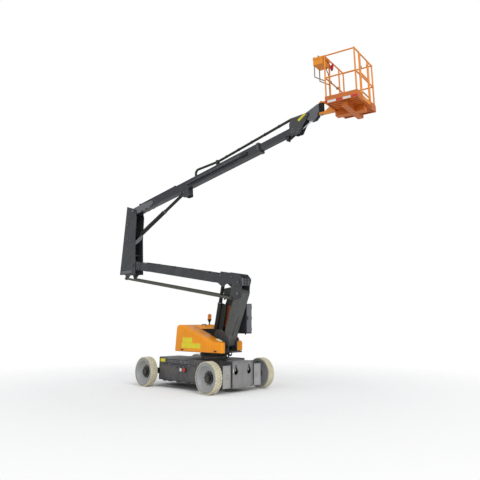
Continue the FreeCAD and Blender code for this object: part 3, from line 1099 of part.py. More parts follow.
def boom():
    """Outer section, fly section with its head, and the cable tube."""
    place = lean(S.boom_pivot_x, S.boom_pivot_z, S.boom_angle)
    outer = box("boom_outer_skin", "outer_length+boom_tail", "2*outer_half_width", "2*outer_half_depth",
                "-boom_tail", "-outer_half_width", "-outer_half_depth")
    ring = box("boom_collar", "collar_length", "2*(outer_half_width+collar)", "2*(outer_half_depth+collar)",
               "outer_length-collar_length", "-outer_half_width-collar", "-outer_half_depth-collar")
    bore = box("boom_bore", "outer_length", "2*(outer_half_width-boom_wall)", "2*(outer_half_depth-boom_wall)",
               "boom_tail_solid", "-outer_half_width+boom_wall", "-outer_half_depth+boom_wall")
    mouth = box("boom_mouth", "outer_length", "2*(fly_half_width+face_gap)", "2*(fly_half_depth+face_gap)",
                "outer_length-mouth_length", "-fly_half_width-face_gap", "-fly_half_depth-face_gap")
    hinge = rod("boom_hinge", "hinge_tube_radius", "2*arm_half", "0", "-arm_half", "0", "y")
    hinge_pin = rod("boom_hinge_pin", "pin_radius", "2*(arm_half+side_gap+cheek+steel_pin_head)",
                    "0", "-(arm_half+side_gap+cheek+steel_pin_head)", "0", "y")
    under = -S.outer_half_depth
    bracket_line = rounded([
        (S.lift_top_s - S.bracket_rear, under, 0),
        (S.lift_top_s - S.bracket_rear, -S.lift_top_d - 55, 45),
        (S.lift_top_s + 120, under - S.bracket_depth + 15, 30),
        (S.lift_top_s + S.bracket_front - 15, under - S.bracket_depth, 25),
        (S.lift_top_s + S.bracket_front, under, 0),
    ])
    plates = list(pair("bracket_plate", bracket_line, "bracket_in", "cheek",
                       [(S.lift_top_s, -S.lift_top_d, S.lift_pin_radius + S.pin_fit)]))
    plates.append(box("bracket_web", "14", "2*bracket_in", "bracket_depth-35", "lift_top_s+bracket_front-30",
                      "-bracket_in", "-outer_half_depth-bracket_depth+35"))
    node("boom_bracket", fuse("boom_bracket", *plates), place)
    hollow = cut("boom_tube", outer, bore)
    collar = cut("boom_collar_ring", ring, mouth)
    node("boom_outer", fuse("boom_shell", hollow, collar, hinge, hinge_pin), place)

    tube = box("fly_skin", "fly_end-fly_tail", "2*fly_half_width", "2*fly_half_depth",
               "fly_tail", "-fly_half_width", "-fly_half_depth")
    core = box("fly_core", "fly_end-fly_tail", "2*(fly_half_width-boom_wall)", "2*(fly_half_depth-boom_wall)",
               "fly_tail-boom_wall", "-fly_half_width+boom_wall", "-fly_half_depth+boom_wall")
    pad = box("fly_pad", "fly_pad_length", "2*(outer_half_width-boom_wall-face_gap)", "2*(outer_half_depth-boom_wall-face_gap)",
              "fly_tail", "-outer_half_width+boom_wall+face_gap", "-outer_half_depth+boom_wall+face_gap")
    pad_hole = box("fly_pad_hole", "fly_pad_length", "2*fly_half_width", "2*fly_half_depth",
                   "fly_tail", "-fly_half_width", "-fly_half_depth")
    lug_line = hull([
        (S.level_foot_s, -S.level_foot_d, 26), (S.level_foot_s + 40, -S.fly_half_depth + 10, 26),
        (S.level_foot_s - 20, -S.fly_half_depth + 10, 26),
    ])
    foot_lugs = pair("level_lug", lug_line, "level_eye_half+level_lug_gap", "level_lug_thick",
                     [(S.level_foot_s, -S.level_foot_d, S.level_pin_radius + S.pin_fit)])
    node("boom_fly", fuse("boom_fly", cut("fly_tube", tube, core), cut("fly_pad_ring", pad, pad_hole), *foot_lugs), place)

    head = rounded([
        (S.fly_end - 55, -10, 30), (S.fly_end + 30, -S.fly_half_depth - 52, 25),
        (S.fly_end + 205, -S.fly_half_depth - 80, 20), (S.fly_end + 320, -25, 60),
        (S.head_s + 95, S.head_up + 52, 30), (S.fly_end + 45, S.head_up + 130, 25), (S.fly_end - 35, S.head_up, 30),
    ])
    heads = pair("head_side", head, "fly_half_width", "head_plate")
    head_pin = rod("head_pin", "head_pin_radius", "2*(fly_half_width+head_plate+head_pin_out)", "head_s",
                   "-(fly_half_width+head_plate+head_pin_out)", "head_up", "y")
    brace = box("head_brace", "110", "2*fly_half_width", "16", "hose_end_s-55", "-fly_half_width", "hose_end_d-160")
    node("boom_head", fuse("boom_head", heads[0], heads[1], head_pin, brace), place)

    path = doc.addObject("Part::Feature", "hose_path")
    path.Shape = course([
        (S.hose_foot_s, S.hose_foot_d, 0), (S.hose_foot_s, S.hose_loop_d, S.hose_bend),
        (S.hose_clamp_s, S.hose_clamp_d, S.hose_sweep), (S.hose_end_s, S.hose_end_d, S.hose_end_bend),
        (S.hose_end_s, S.hose_end_d - S.hose_drop, 0),
    ])
    ring = bind(doc.addObject("Part::Circle", "hose_section"), Radius="hose_radius")
    move(ring, "hose_foot_s", "0", "hose_foot_d")
    sweep = doc.addObject("Part::Sweep", "hose_tube")
    sweep.Sections = [ring]
    sweep.Spine = (path, [])
    sweep.Solid = True
    clamp = box("hose_clamp", "hose_clamp_length", "2*hose_radius+2*hose_clamp_margin",
                "hose_clamp_d+hose_radius+8-hose_foot_d", "hose_clamp_s-hose_clamp_length/2",
                "-hose_radius-hose_clamp_margin", "hose_foot_d")
    node("hose_loop", fuse("hose_loop", sweep, clamp), place)


def level_group():
    """Level bracket at the boom's head with the platform rotator."""
    x, z = S.head_x, S.head_z
    edge = S.rotator_x
    top = S.rotator_top
    bracket = rounded([
        (x - 52, z - 52, 45), (S.level_top_x - 28, S.level_top_z - 32, 20), (S.level_top_x + 90, S.level_top_z - 25, 25),
        (edge - 72, S.rotator_bottom - 60, 12), (edge - 72, S.rotator_bottom + 8, 0), (edge, S.rotator_bottom + 8, 0),
        (edge, top, 0), (edge - 75, top, 20), (x - 52, z + 75, 40),
    ])
    half = "(fly_half_width-side_gap)"
    holes = [(x, z, S.head_pin_radius + S.pin_fit)]
    sides = [
        plate("level_side_far", bracket, half + "-level_side_thick", half, holes),
        plate("level_side_near", bracket, "-" + half, "level_side_thick-" + half, holes),
    ]
    bridge = box("level_bridge", "16", "2*(fly_half_width-side_gap-level_side_thick)", "140",
                 "rotator_x-2*rotator_radius", "-(fly_half_width-side_gap)+level_side_thick", "rotator_bottom+30")
    way = rod("rotator_way", "rotator_radius", "2*rotator_top-2*rotator_bottom", "rotator_x", "0", "rotator_bottom-100")
    node("level_bracket", cut("level_bracket", fuse("level_plates", *(sides + [bridge])), way))
    drum = rod("rotator_drum", "rotator_radius", "rotator_top-rotator_bottom", "rotator_x", "0", "rotator_bottom")
    shaft = rod("rotator_shaft_rod", "rotator_shaft", "rotator_length+2*rotator_shaft_out",
                "rotator_x", "0", "rotator_bottom-rotator_shaft_out")
    node("rotator", fuse("rotator", drum, shaft))


def tube_between(name, start, end, radius="rail_radius"):
    """A straight tube between two points."""
    a, b = Vector(*start), Vector(*end)
    feature = bind(doc.addObject("Part::Cylinder", name), Radius=radius)
    feature.Height = (b - a).Length
    feature.Placement = Placement(a, Rotation(Vector(0, 0, 1), b - a))
    return feature


def platform():
    """Floor with its toe boards and frame, guard rails, console and gate."""
    place = Placement(Vector(S.rotator_x, 0, 0), Rotation(Vector(0, 0, 1), S.platform_turn))
    x0, x1 = S.floor_start, S.floor_start + S.floor_length
    y0, y1 = S.floor_near, S.floor_near + S.floor_width
    z0 = S.floor_bottom
    floor = box("floor_plate", "floor_length", "floor_width", "floor_sheet", "floor_start", "floor_near",
                "floor_bottom+floor_thick-floor_sheet")
    gate0, gate1 = y0 + S.gate_start, y0 + S.gate_start + S.gate_width
    toes = [
        box("toe_near", "floor_length", "toe_thick", "toe_height", "floor_start", "floor_near", "floor_bottom"),
        box("toe_far", "floor_length", "toe_thick", "toe_height", "floor_start", "floor_near+floor_width-toe_thick",
            "floor_bottom"),
        box("toe_back", "toe_thick", "floor_width", "toe_height", "floor_start", "floor_near", "floor_bottom"),
        box("toe_front_a", "toe_thick", "gate_start", "toe_height", "floor_start+floor_length-toe_thick",
            "floor_near", "floor_bottom"),
        box("toe_front_b", "toe_thick", "floor_width-gate_start-gate_width", "toe_height",
            "floor_start+floor_length-toe_thick", "floor_near+gate_start+gate_width", "floor_bottom"),
    ]
    depth = "keel_depth+floor_thick-floor_sheet"
    keel = box("floor_keel", "floor_length-keel_short", "keel_width", depth,
               "floor_start", "-keel_width/2", "floor_bottom-keel_depth")
    cross = box("floor_cross", "cross_width", "floor_width-2*cross_short", depth,
                "floor_start+cross_start", "floor_near+cross_short", "floor_bottom-keel_depth")
    keel_core = box("floor_keel_core", "floor_length-keel_short-2*floor_sheet", "keel_width-2*floor_sheet",
                    depth + "-2*floor_sheet", "floor_start+floor_sheet", "floor_sheet-keel_width/2",
                    "floor_bottom-keel_depth+floor_sheet")
    cross_core = box("floor_cross_core", "cross_width-2*floor_sheet", "floor_width-2*cross_short-2*floor_sheet",
                     depth + "-2*floor_sheet", "floor_start+cross_start+floor_sheet",
                     "floor_near+cross_short+floor_sheet", "floor_bottom-keel_depth+floor_sheet")
    whole = fuse("floor_whole", floor, keel, cross, *toes)
    node("platform_floor", cut("platform_floor", whole, keel_core, cross_core), place)

    r = S.rail_radius
    top = z0 + S.rail_height - r
    mid = z0 + S.mid_rail_height
    low = z0 + S.floor_thick
    xa, xb, ya, yb = x0 + toe_in(r), x1 - toe_in(r), y0 + toe_in(r), y1 - toe_in(r)
    ring = [(xa, ya), (xb, ya), (xb, yb), (xa, yb)]
    rails = []
    for level, z in (("top", top), ("mid", mid)):
        for i, (px, py) in enumerate(ring):
            qx, qy = ring[(i + 1) % 4]
            size = "rail_radius-rail_step" if px == qx else "rail_radius-2*rail_step"
            if px == qx == xb:
                rails.append(tube_between("rail_%s_gate_a" % level, (px, py, z), (px, gate0 - r, z), size))
                rails.append(tube_between("rail_%s_gate_b" % level, (px, gate1 + r, z), (qx, qy, z), size))
            else:
                rails.append(tube_between("rail_%s_%d" % (level, i), (px, py, z), (qx, qy, z), size))
    posts = ring + [(xb, gate0 - r), (xb, gate1 + r), (xa, ya + S.post_near), (xa, yb - S.post_far)]
    for i, (px, py) in enumerate(posts):
        rails.append(tube_between("post_%d" % i, (px, py, low), (px, py, top)))
        knob = bind(doc.addObject("Part::Sphere", "post_top_%d" % i), Radius="rail_radius+rail_step")
        rails.append(move(knob, str(px), str(py), str(top)))
    for i, z in enumerate((low + S.gate_ring_low, top - S.gate_ring_high)):
        hinge_y = str(gate1 - S.gate_gap - r)
        lug = box("gate_lug_%d" % i, "26", "2*rail_radius+gate_gap", "gate_ring_height", str(xb - 13),
                  str(gate1 - S.gate_gap - r), str(z))
        ring_lug = rod("gate_ring_%d" % i, "rail_radius+gate_ring", "gate_ring_height", str(xb), hinge_y, str(z))
        way = rod("gate_way_%d" % i, "rail_radius+gate_fit", "gate_ring_height", str(xb), hinge_y, str(z))
        rails.append(cut("gate_hinge_%d" % i, fuse("gate_hinge_body_%d" % i, lug, ring_lug), way))
    node("platform_rails", fuse("platform_rails", *rails), place)

    gate_parts = []
    gy0, gy1 = gate0 + S.gate_gap, gate1 - S.gate_gap
    for i, z in enumerate((top, mid + S.gate_bar_step, mid, low + S.gate_low_bar)):
        gate_parts.append(tube_between("gate_bar_%d" % i, (xb, gy0 + r, z), (xb, gy1 - r, z), "rail_radius-rail_step"))
    for i, y in enumerate((gy0 + r, gy1 - r)):
        gate_parts.append(tube_between("gate_post_%d" % i, (xb, y, low + S.gate_foot), (xb, y, top)))
    gate_parts.append(box("gate_toe", "toe_thick", str(gy1 - gy0 - 2 * r), "toe_height-floor_thick-6", str(xb),
                          str(gy0 + r), str(low + 6)))
    node("gate", fuse("gate", *gate_parts), place)

    console_z = top - S.console_height + r
    console = [
        box("console_body", "console_length", "console_width", "console_height-console_lid",
            "floor_start-console_out", "floor_near+console_in", str(console_z)),
        box("console_lid", "console_length+2*console_lip", "console_width+2*console_lip", "console_lid",
            "floor_start-console_out-console_lip", "floor_near+console_in-console_lip",
            str(top + r - S.console_lid)),
    ]
    node("console", fuse("console_box", *console), place)
    arm = []
    start, inset = y0 + S.console_in, S.console_tube_inset
    tube_x = x0 - S.console_out + S.console_tube
    tube_z = console_z - r - S.console_drop
    for i, y in enumerate((start + inset, start + S.console_width - inset)):
        arm.append(tube_between("console_arm_a%d" % i, (tube_x, y, console_z), (tube_x, y, tube_z), "console_tube"))
        arm.append(tube_between("console_arm_b%d" % i, (tube_x, y, tube_z), (xa - r - S.face_gap, y, tube_z - S.console_slope),
                                "console_tube"))
    node("console_frame", fuse("console_frame", *arm), place)

    low_z, high_z = "rotator_bottom-mount_gap-mount_lower", "rotator_top+mount_gap"
    lower = box("mount_lower", "floor_start", "2*mount_half", "mount_lower", "0", "-mount_half", low_z)
    lower_round = rod("mount_lower_round", "mount_half", "mount_lower", "0", "0", low_z)
    upper = box("mount_upper", "floor_start-mount_wall_thick/2", "2*mount_half", "mount_upper", "0", "-mount_half", high_z)
    upper_round = rod("mount_upper_round", "mount_half", "mount_upper", "0", "0", high_z)
    wall = box("mount_wall", "mount_wall_thick", "2*mount_wall_half",
               "rotator_length+mount_gap+mount_upper+floor_down", "floor_start-mount_wall_thick",
               "-mount_wall_half", "floor_bottom")
    hole = rod("mount_hole", "rotator_shaft+pin_fit", "500", "0", "0", "rotator_bottom-100")
    node("platform_mount", cut("platform_mount", fuse("mount_body", lower, lower_round, upper, upper_round, wall), hole),
         place)


def toe_in(r):
    return S.toe_thick + r + 1


wheels()
axles()
knuckles()
chassis()
turntable()
lower_riser()
cylinder("riser", (S.riser_foot_x, S.riser_foot_z), LOBE, S.riser_cyl_y, "riser_eye_half",
         ("riser_pin_radius", "riser_eye_half+lug_gap+cheek"), "riser_top_half", None)
upper_riser()
upright()
cylinder("lift", (S.lift_foot_x, S.lift_foot_z), LIFT_TOP, 0, "lift_eye_half", None, "lift_top_half",
         ("lift_pin_radius", "bracket_in+cheek+steel_pin_head"))
boom()
cylinder("level", LEVEL_FOOT, (S.level_top_x, S.level_top_z), 0, "level_eye_half",
         ("level_pin_radius", "level_eye_half+level_lug_gap+level_lug_thick+side_gap"), "level_top_half",
         ("level_pin_radius", "level_top_half+lug_gap"))
level_group()
platform()
doc.recompute()

faults = []
for item in doc.Objects:
    if "Invalid" in item.State or "Error" in item.State:
        faults.append(item.Name)
for item in NODES:
    if item.Shape.isNull() or not item.Shape.isValid():
        faults.append(item.Label)
if faults:
    raise RuntimeError("not made: " + ", ".join(faults))

os.makedirs("parts", exist_ok=True)
for item in NODES:
    item.Shape.exportStep("parts/%s.step" % item.Label)
    print("%-22s %d solids %10.1f cm3" % (item.Label, len(item.Shape.Solids), item.Shape.Volume / 1000))
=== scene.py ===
import itertools
import math

import bmesh
import bpy
from mathutils import Matrix, Vector


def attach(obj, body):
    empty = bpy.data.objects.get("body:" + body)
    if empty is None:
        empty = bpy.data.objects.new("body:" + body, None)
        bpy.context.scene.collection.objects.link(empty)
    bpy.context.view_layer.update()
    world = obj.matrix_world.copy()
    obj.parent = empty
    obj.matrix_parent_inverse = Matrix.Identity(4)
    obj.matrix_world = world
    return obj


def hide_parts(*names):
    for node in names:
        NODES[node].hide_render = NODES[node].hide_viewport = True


# Looks for an articulating boom lift. Shapes are written in millimetres in a local place
# and kept in metres. "near" is the -Y side and "far" the +Y side.

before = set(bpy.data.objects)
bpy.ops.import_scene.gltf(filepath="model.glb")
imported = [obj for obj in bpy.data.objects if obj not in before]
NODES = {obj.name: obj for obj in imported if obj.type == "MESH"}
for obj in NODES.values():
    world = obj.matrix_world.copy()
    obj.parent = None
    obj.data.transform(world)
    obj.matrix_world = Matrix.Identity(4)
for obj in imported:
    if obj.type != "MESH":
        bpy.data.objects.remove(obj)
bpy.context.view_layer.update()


def linear(r, g, b):
    """A display colour from 0 to 255 as the linear colour that a shader takes."""
    out = []
    for value in (r / 255, g / 255, b / 255):
        out.append(value / 12.92 if value <= 0.04045 else ((value + 0.055) / 1.055) ** 2.4)
    return (*out, 1)


def shade(colour, amount):
    """A colour made darker (below 1) or lighter (above 1)."""
    return tuple(min(1, c * amount) for c in colour[:3]) + (1,)


class Paint:
    """A material built on one Principled shader."""

    def __init__(self, name, rough=0.5, metallic=0.0, coat=0.0):
        self.made = bpy.data.materials.new(name)
        self.made.use_nodes = True
        self.tree = self.made.node_tree
        self.shader = [n for n in self.tree.nodes if n.type == "BSDF_PRINCIPLED"][0]
        self.shader.inputs["Roughness"].default_value = rough
        self.shader.inputs["Metallic"].default_value = metallic
        self.shader.inputs["Coat Weight"].default_value = coat
        self.place = self.new("ShaderNodeTexCoord").outputs["Object"]

    def new(self, kind, **settings):
        node = self.tree.nodes.new(kind)
        for key, value in settings.items():
            setattr(node, key, value)
        return node

    def wire(self, socket, value):
        """Give a socket a value, or another socket's output."""
        if isinstance(value, bpy.types.NodeSocket):
            self.tree.links.new(value, socket)
        else:
            socket.default_value = value

    def stretched(self, x, y, z):
        node = self.new("ShaderNodeMapping")
        node.inputs["Scale"].default_value = (x, y, z)
        self.wire(node.inputs["Vector"], self.place)
        return node.outputs["Vector"]

    def noise(self, scale, detail=4.0, rough=0.55, twist=0.0, at=None):
        node = self.new("ShaderNodeTexNoise")
        node.inputs["Scale"].default_value = scale
        node.inputs["Detail"].default_value = detail
        node.inputs["Roughness"].default_value = rough
        node.inputs["Distortion"].default_value = twist
        self.wire(node.inputs["Vector"], at or self.place)
        return node.outputs["Fac"]

    def band(self, value, low, high, start=0.0, stop=1.0):
        """The value's range low to high as start to stop."""
        node = self.new("ShaderNodeMapRange")
        for socket, number in zip(("From Min", "From Max", "To Min", "To Max"), (low, high, start, stop)):
            node.inputs[socket].default_value = number
        self.wire(node.inputs["Value"], value)
        return node.outputs["Result"]

    def maths(self, kind, a, b=0.5):
        node = self.new("ShaderNodeMath", operation=kind)
        self.wire(node.inputs[0], a)
        self.wire(node.inputs[1], b)
        return node.outputs[0]

    def blend(self, amount, a, b):
        node = self.new("ShaderNodeMix", data_type="RGBA")
        self.wire(node.inputs[0], amount)
        self.wire(node.inputs[6], a)
        self.wire(node.inputs[7], b)
        return node.outputs[2]

    def axis(self, letter, at=None):
        node = self.new("ShaderNodeSeparateXYZ")
        self.wire(node.inputs[0], at or self.place)
        return node.outputs[letter]

    def edges(self, radius):
        """1 near sharp edges and 0 on the flats."""
        bevel = self.new("ShaderNodeBevel", samples=4)
        bevel.inputs["Radius"].default_value = radius
        dot = self.new("ShaderNodeVectorMath", operation="DOT_PRODUCT")
        self.wire(dot.inputs[0], bevel.outputs["Normal"])
        self.wire(dot.inputs[1], self.new("ShaderNodeNewGeometry").outputs["Normal"])
        return self.band(dot.outputs["Value"], 0.99, 0.86)

    def bump(self, height, strength, depth=0.001):
        node = self.new("ShaderNodeBump")
        node.inputs["Strength"].default_value = strength
        node.inputs["Distance"].default_value = depth
        self.wire(node.inputs["Height"], height)
        self.wire(self.shader.inputs["Normal"], node.outputs["Normal"])

    def colour(self, value):
        self.wire(self.shader.inputs["Base Color"], value)

    def rough(self, value):
        self.wire(self.shader.inputs["Roughness"], value)


def painted(name, colour, rough=0.42, chip=None, wear=0.7, dust=0.25, coat=0.0, streak=0.12):
    """Sprayed steel: broad shade changes, rain streaks, settled dust, chips along edges and orange peel."""
    p = Paint(name, coat=coat)
    p.shader.inputs["Specular IOR Level"].default_value = 0.3
    chip = chip or shade(colour, 1.9)
    cloud = p.noise(1.1, 5, 0.6)
    tone = p.blend(p.band(cloud, 0.3, 0.7), shade(colour, 0.88), shade(colour, 1.1))
    runs = p.noise(5, 5, 0.6, at=p.stretched(4, 4, 0.25))
    tone = p.blend(p.band(runs, 0.45, 0.75, 0, streak * 2), tone, shade(colour, 0.6))
    low = p.band(p.axis("Z"), 1.6, 0.1)
    patches = p.band(p.noise(3.2, 6, 0.65), 0.42, 0.68)
    settled = p.maths("MULTIPLY", patches, p.band(low, 0, 1, dust * 0.35, dust))
    tone = p.blend(settled, tone, linear(150, 142, 128))
    edge = p.edges(0.007)
    chips = p.maths("MULTIPLY", edge, p.band(p.noise(18, 6, 0.7), 0.5, 0.6, 0, wear))
    tone = p.blend(chips, tone, chip)
    p.colour(tone)
    gloss = p.band(p.noise(7, 5, 0.6), 0.3, 0.7, rough - 0.08, rough + 0.12)
    p.rough(p.maths("ADD", gloss, p.maths("MULTIPLY", settled, 0.4)))
    peel = p.maths("ADD", p.maths("MULTIPLY", p.noise(260, 2), 0.35), p.noise(24, 3))
    p.bump(peel, 0.18, 0.0012)
    return p.made


def bare(name, colour, rough=0.3, metallic=0.9):
    """Machined or plated steel with fine turning marks and fingerprints."""
    p = Paint(name, metallic=metallic)
    smear = p.noise(9, 6, 0.65)
    p.colour(p.blend(p.band(smear, 0.35, 0.7), shade(colour, 0.75), shade(colour, 1.12)))
    p.rough(p.band(smear, 0.3, 0.7, rough - 0.1, rough + 0.16))
    p.bump(p.noise(90, 3, at=p.stretched(1, 6, 6)), 0.12, 0.0006)
    return p.made


def rubber(name, colour, scale=30, rough=0.8, dust=0.35):
    """Moulded rubber with a dusty bloom and a fine pebbled face."""
    p = Paint(name)
    bloom = p.noise(4.5, 6, 0.7)
    tone = p.blend(p.band(bloom, 0.35, 0.7), shade(colour, 0.82), shade(colour, 1.12))
    scuff = p.band(p.noise(16, 7, 0.75, 0.4), 0.55, 0.72, 0, dust)
    p.colour(p.blend(scuff, tone, linear(112, 106, 96)))
    p.rough(p.band(bloom, 0.3, 0.7, rough - 0.1, min(1, rough + 0.12)))
    p.bump(p.maths("ADD", p.noise(scale, 4), p.noise(scale * 8, 2)), 0.35, 0.0012)
    return p.made


def moulded(name, colour, rough=0.4, clear=0.0):
    """Hard plastic with a fine moulded grain."""
    p = Paint(name)
    grain = p.noise(220, 2)
    tone = p.noise(6, 4)
    p.colour(p.blend(p.band(tone, 0.35, 0.65), shade(colour, 0.88), shade(colour, 1.08)))
    p.rough(p.band(tone, 0.3, 0.7, rough - 0.06, rough + 0.1))
    p.bump(grain, 0.15, 0.0005)
    p.shader.inputs["Transmission Weight"].default_value = clear
    return p.made


def sticker(name, colour):
    """A blank adhesive plate, a little faded and scuffed towards its edges."""
    p = Paint(name, rough=0.35)
    fade = p.noise(12, 5, 0.6)
    tone = p.blend(p.band(fade, 0.35, 0.7), colour, shade(colour, 0.86))
    scuff = p.band(p.noise(55, 6, 0.75), 0.6, 0.68, 0, 0.5)
    p.colour(p.blend(scuff, tone, shade(colour, 0.62)))
    p.rough(p.band(fade, 0.3, 0.7, 0.3, 0.5))
    p.bump(p.noise(40, 3), 0.1, 0.0005)
    return p.made


def treadplate(name, colour):
    """Deck sheet with raised bars in a woven pattern, worn bright on their crowns."""
    p = Paint(name)
    x = p.axis("X")
    y = p.axis("Y")
    a = p.maths("SINE", p.maths("MULTIPLY", p.maths("ADD", x, y), 150), 0)
    b = p.maths("SINE", p.maths("MULTIPLY", p.maths("SUBTRACT", x, y), 150), 0)
    bars = p.band(p.maths("MULTIPLY", a, b), 0.25, 0.7)
    cloud = p.noise(2.2, 6, 0.65)
    tone = p.blend(p.band(cloud, 0.35, 0.65), shade(colour, 0.8), shade(colour, 1.15))
    tone = p.blend(p.band(p.noise(4, 6, 0.7), 0.45, 0.65, 0, 0.5), tone, linear(140, 134, 122))
    crown = p.maths("MULTIPLY", bars, p.band(p.noise(6, 5), 0.4, 0.65, 0, 0.7))
    p.colour(p.blend(crown, tone, linear(150, 150, 150)))
    p.rough(p.band(cloud, 0.3, 0.7, 0.4, 0.62))
    p.bump(bars, 0.7, 0.003)
    return p.made


def mesh_sheet(name, colour):
    """Platform floor of punched sheet: rows of round holes with worn rims."""
    p = Paint(name)
    cells = p.new("ShaderNodeTexVoronoi", feature="F1", voronoi_dimensions="2D")
    cells.inputs["Scale"].default_value = 26
    cells.inputs["Randomness"].default_value = 0
    p.wire(cells.inputs["Vector"], p.place)
    hole = p.band(cells.outputs["Distance"], 0.3, 0.24)
    rim = p.band(cells.outputs["Distance"], 0.42, 0.32)
    up = p.band(p.axis("Z", p.new("ShaderNodeNewGeometry").outputs["Normal"]), 0.5, 0.9)
    cloud = p.noise(3, 6, 0.65)
    tone = p.blend(p.band(cloud, 0.3, 0.7), shade(colour, 0.8), shade(colour, 1.12))
    scuff = p.maths("MULTIPLY", p.band(p.noise(7, 6, 0.7), 0.45, 0.62, 0, 0.8), up)
    tone = p.blend(scuff, tone, linear(120, 110, 98))
    chips = p.maths("MULTIPLY", p.edges(0.006), p.band(p.noise(20, 6, 0.7), 0.5, 0.6, 0, 0.6))
    tone = p.blend(chips, tone, shade(colour, 1.7))
    tone = p.blend(p.maths("MULTIPLY", hole, up), tone, linear(26, 22, 18))
    p.colour(tone)
    p.rough(p.band(cloud, 0.3, 0.7, 0.42, 0.62))
    p.bump(p.maths("MULTIPLY", rim, up), 0.5, 0.002)
    return p.made


ORANGE = linear(247, 152, 0)
CAGE = linear(242, 148, 26)
CHARCOAL = linear(58, 60, 64)

M = {
    "hood": painted("hood_paint", ORANGE, 0.4, linear(252, 200, 110), 0.6, 0.05, coat=0.08, streak=0.08),
    "cage": painted("platform_paint", CAGE, 0.38, linear(255, 205, 130), 0.8, 0.1, coat=0.15, streak=0.14),
    "cage_grey": painted("rail_grey", linear(150, 132, 118), 0.4, linear(205, 190, 176), 0.8, 0.1),
    # The floor's orange is a darker copy of the cage orange: painted shade for the platform's shaded
    # underside; its holes, scuffs and chips come from mesh_sheet
    "floor": mesh_sheet("platform_floor", linear(206, 108, 30)),
    "arm": painted("arm_paint", CHARCOAL, 0.4, linear(150, 152, 156), 0.8, 0.2, coat=0.1),
    # The lower arm's paint is a lighter copy of the arm charcoal: painted light for the key light on its
    # forward face
    "arm_green": painted("lower_arm_painted_light", linear(82, 85, 84), 0.42, linear(150, 152, 150), 0.8, 0.3,
                         streak=0.3),
    "cast": painted("cast_grey", linear(104, 107, 112), 0.46, linear(170, 172, 176), 0.8, 0.2),
    "link": painted("link_paint", linear(78, 78, 70), 0.42, linear(150, 148, 138), 0.9, 0.25),
    "boom": painted("boom_paint", linear(44, 46, 52), 0.36, linear(140, 142, 150), 0.8, 0.12, coat=0.2),
    "black": painted("black_paint", linear(20, 21, 21), 0.36, linear(110, 110, 112), 0.8, 0.2),
    "panel": painted("panel_paint", linear(62, 63, 68), 0.38, linear(140, 140, 145), 0.7, 0.28, coat=0.1),
    "plate": painted("plate_grey", linear(132, 132, 134), 0.42, linear(190, 190, 192), 0.8, 0.3, streak=0.25),
    "guard": painted("guard_grey", linear(158, 158, 158), 0.42, linear(205, 205, 205), 0.8, 0.3, streak=0.25),
    "cabinet": painted("cabinet_paint", linear(58, 56, 64), 0.34, linear(130, 128, 138), 0.6, 0.1, coat=0.2),
    "rim": painted("rim_paint", linear(160, 161, 163), 0.36, linear(205, 205, 205), 0.7, 0.5, coat=0.1),
    # Orange-brown that stands for the hoods' orange reflected low on the lower link: a painted reflection
    "rust": painted("painted_reflection_colour", linear(112, 58, 22), 0.5, linear(150, 90, 50), 0.8, 0.2, streak=0.4),
    "weight": painted("counterweight_paint", linear(60, 61, 64), 0.5, linear(120, 120, 122), 0.9, 0.35),
    "steel": bare("bright_steel", linear(176, 178, 182), 0.3),
    "zinc": bare("zinc_bolts", linear(150, 148, 140), 0.38),
    "chrome": bare("chrome_rod", linear(214, 216, 220), 0.16, 1.0),
    "brass": bare("brass_fitting", linear(186, 150, 84), 0.35),
    "tread": rubber("tyre_tread", linear(206, 199, 174), 26, 0.86, 0.4),
    "wall": rubber("tyre_wall", linear(150, 150, 146), 22, 0.84, 0.35),
    "hose": rubber("hose_rubber", linear(36, 38, 34), 60, 0.6, 0.12),
    "seal": rubber("seal_rubber", linear(20, 20, 21), 50, 0.7, 0.1),
    "grip": rubber("grip_rubber", linear(28, 28, 29), 80, 0.75, 0.1),
    "sleeve": rubber("hose_sleeve", linear(44, 50, 42), 90, 0.7, 0.15),
    "red": moulded("red_plastic", linear(186, 24, 30), 0.35),
    "green": moulded("green_plastic", linear(30, 120, 52), 0.35),
    "amber": moulded("amber_lens", linear(244, 146, 30), 0.18, clear=0.15),
    "plastic": moulded("black_plastic", linear(26, 26, 28), 0.45),
    "smoke": moulded("grey_plastic", linear(128, 130, 132), 0.45),
    "yellow": sticker("blank_yellow", linear(226, 212, 30)),
    "white": sticker("blank_white", linear(226, 226, 222)),
    "tape_red": sticker("tape_red", linear(198, 34, 26)),
    "pale": sticker("blank_cream", linear(244, 232, 190)),
    "deck": treadplate("deck_sheet", linear(84, 85, 88)),
}

NODES_IN = {
    "black": "front_axle rear_axle knuckle_near knuckle_far slew_base slew_ring lifting_eye lower_link"
             " riser_cylinder_barrel riser_cylinder_rod lift_cylinder_barrel lift_cylinder_rod"
             " level_cylinder_barrel rotator",
    "arm": "turntable_frame cabinet_post knee upper_arm upright boom_head",
    "boom": "boom_bracket boom_outer boom_fly",
    "hood": "rear_cover hood_near hood_far",
    "cage": "platform_rails gate console platform_mount",
    "panel": "chassis_frame battery_box_near battery_box_far",
    "plastic": "batteries beacon",
    "plate": "front_plate",
    "guard": "front_guards",
    "deck": "deck",
    "weight": "counterweight",
    "cabinet": "cabinet",
    "arm_green": "lower_arm",
    "link": "upper_link",
    "sleeve": "hose_loop",
    "chrome": "level_cylinder_rod",
    "cast": "level_bracket",
    # The platform floor takes the darker orange that holds painted shade
    "floor": "platform_floor",
    "cage_grey": "console_frame",
}
CAD_PAINT = {node: look for look, nodes in NODES_IN.items() for node in nodes.split()}
for name, thing in NODES.items():
    look = CAD_PAINT.get(name) or ("tread" if name.startswith("tyre") else "rim")
    thing.data.materials.clear()
    thing.data.materials.append(M[look])


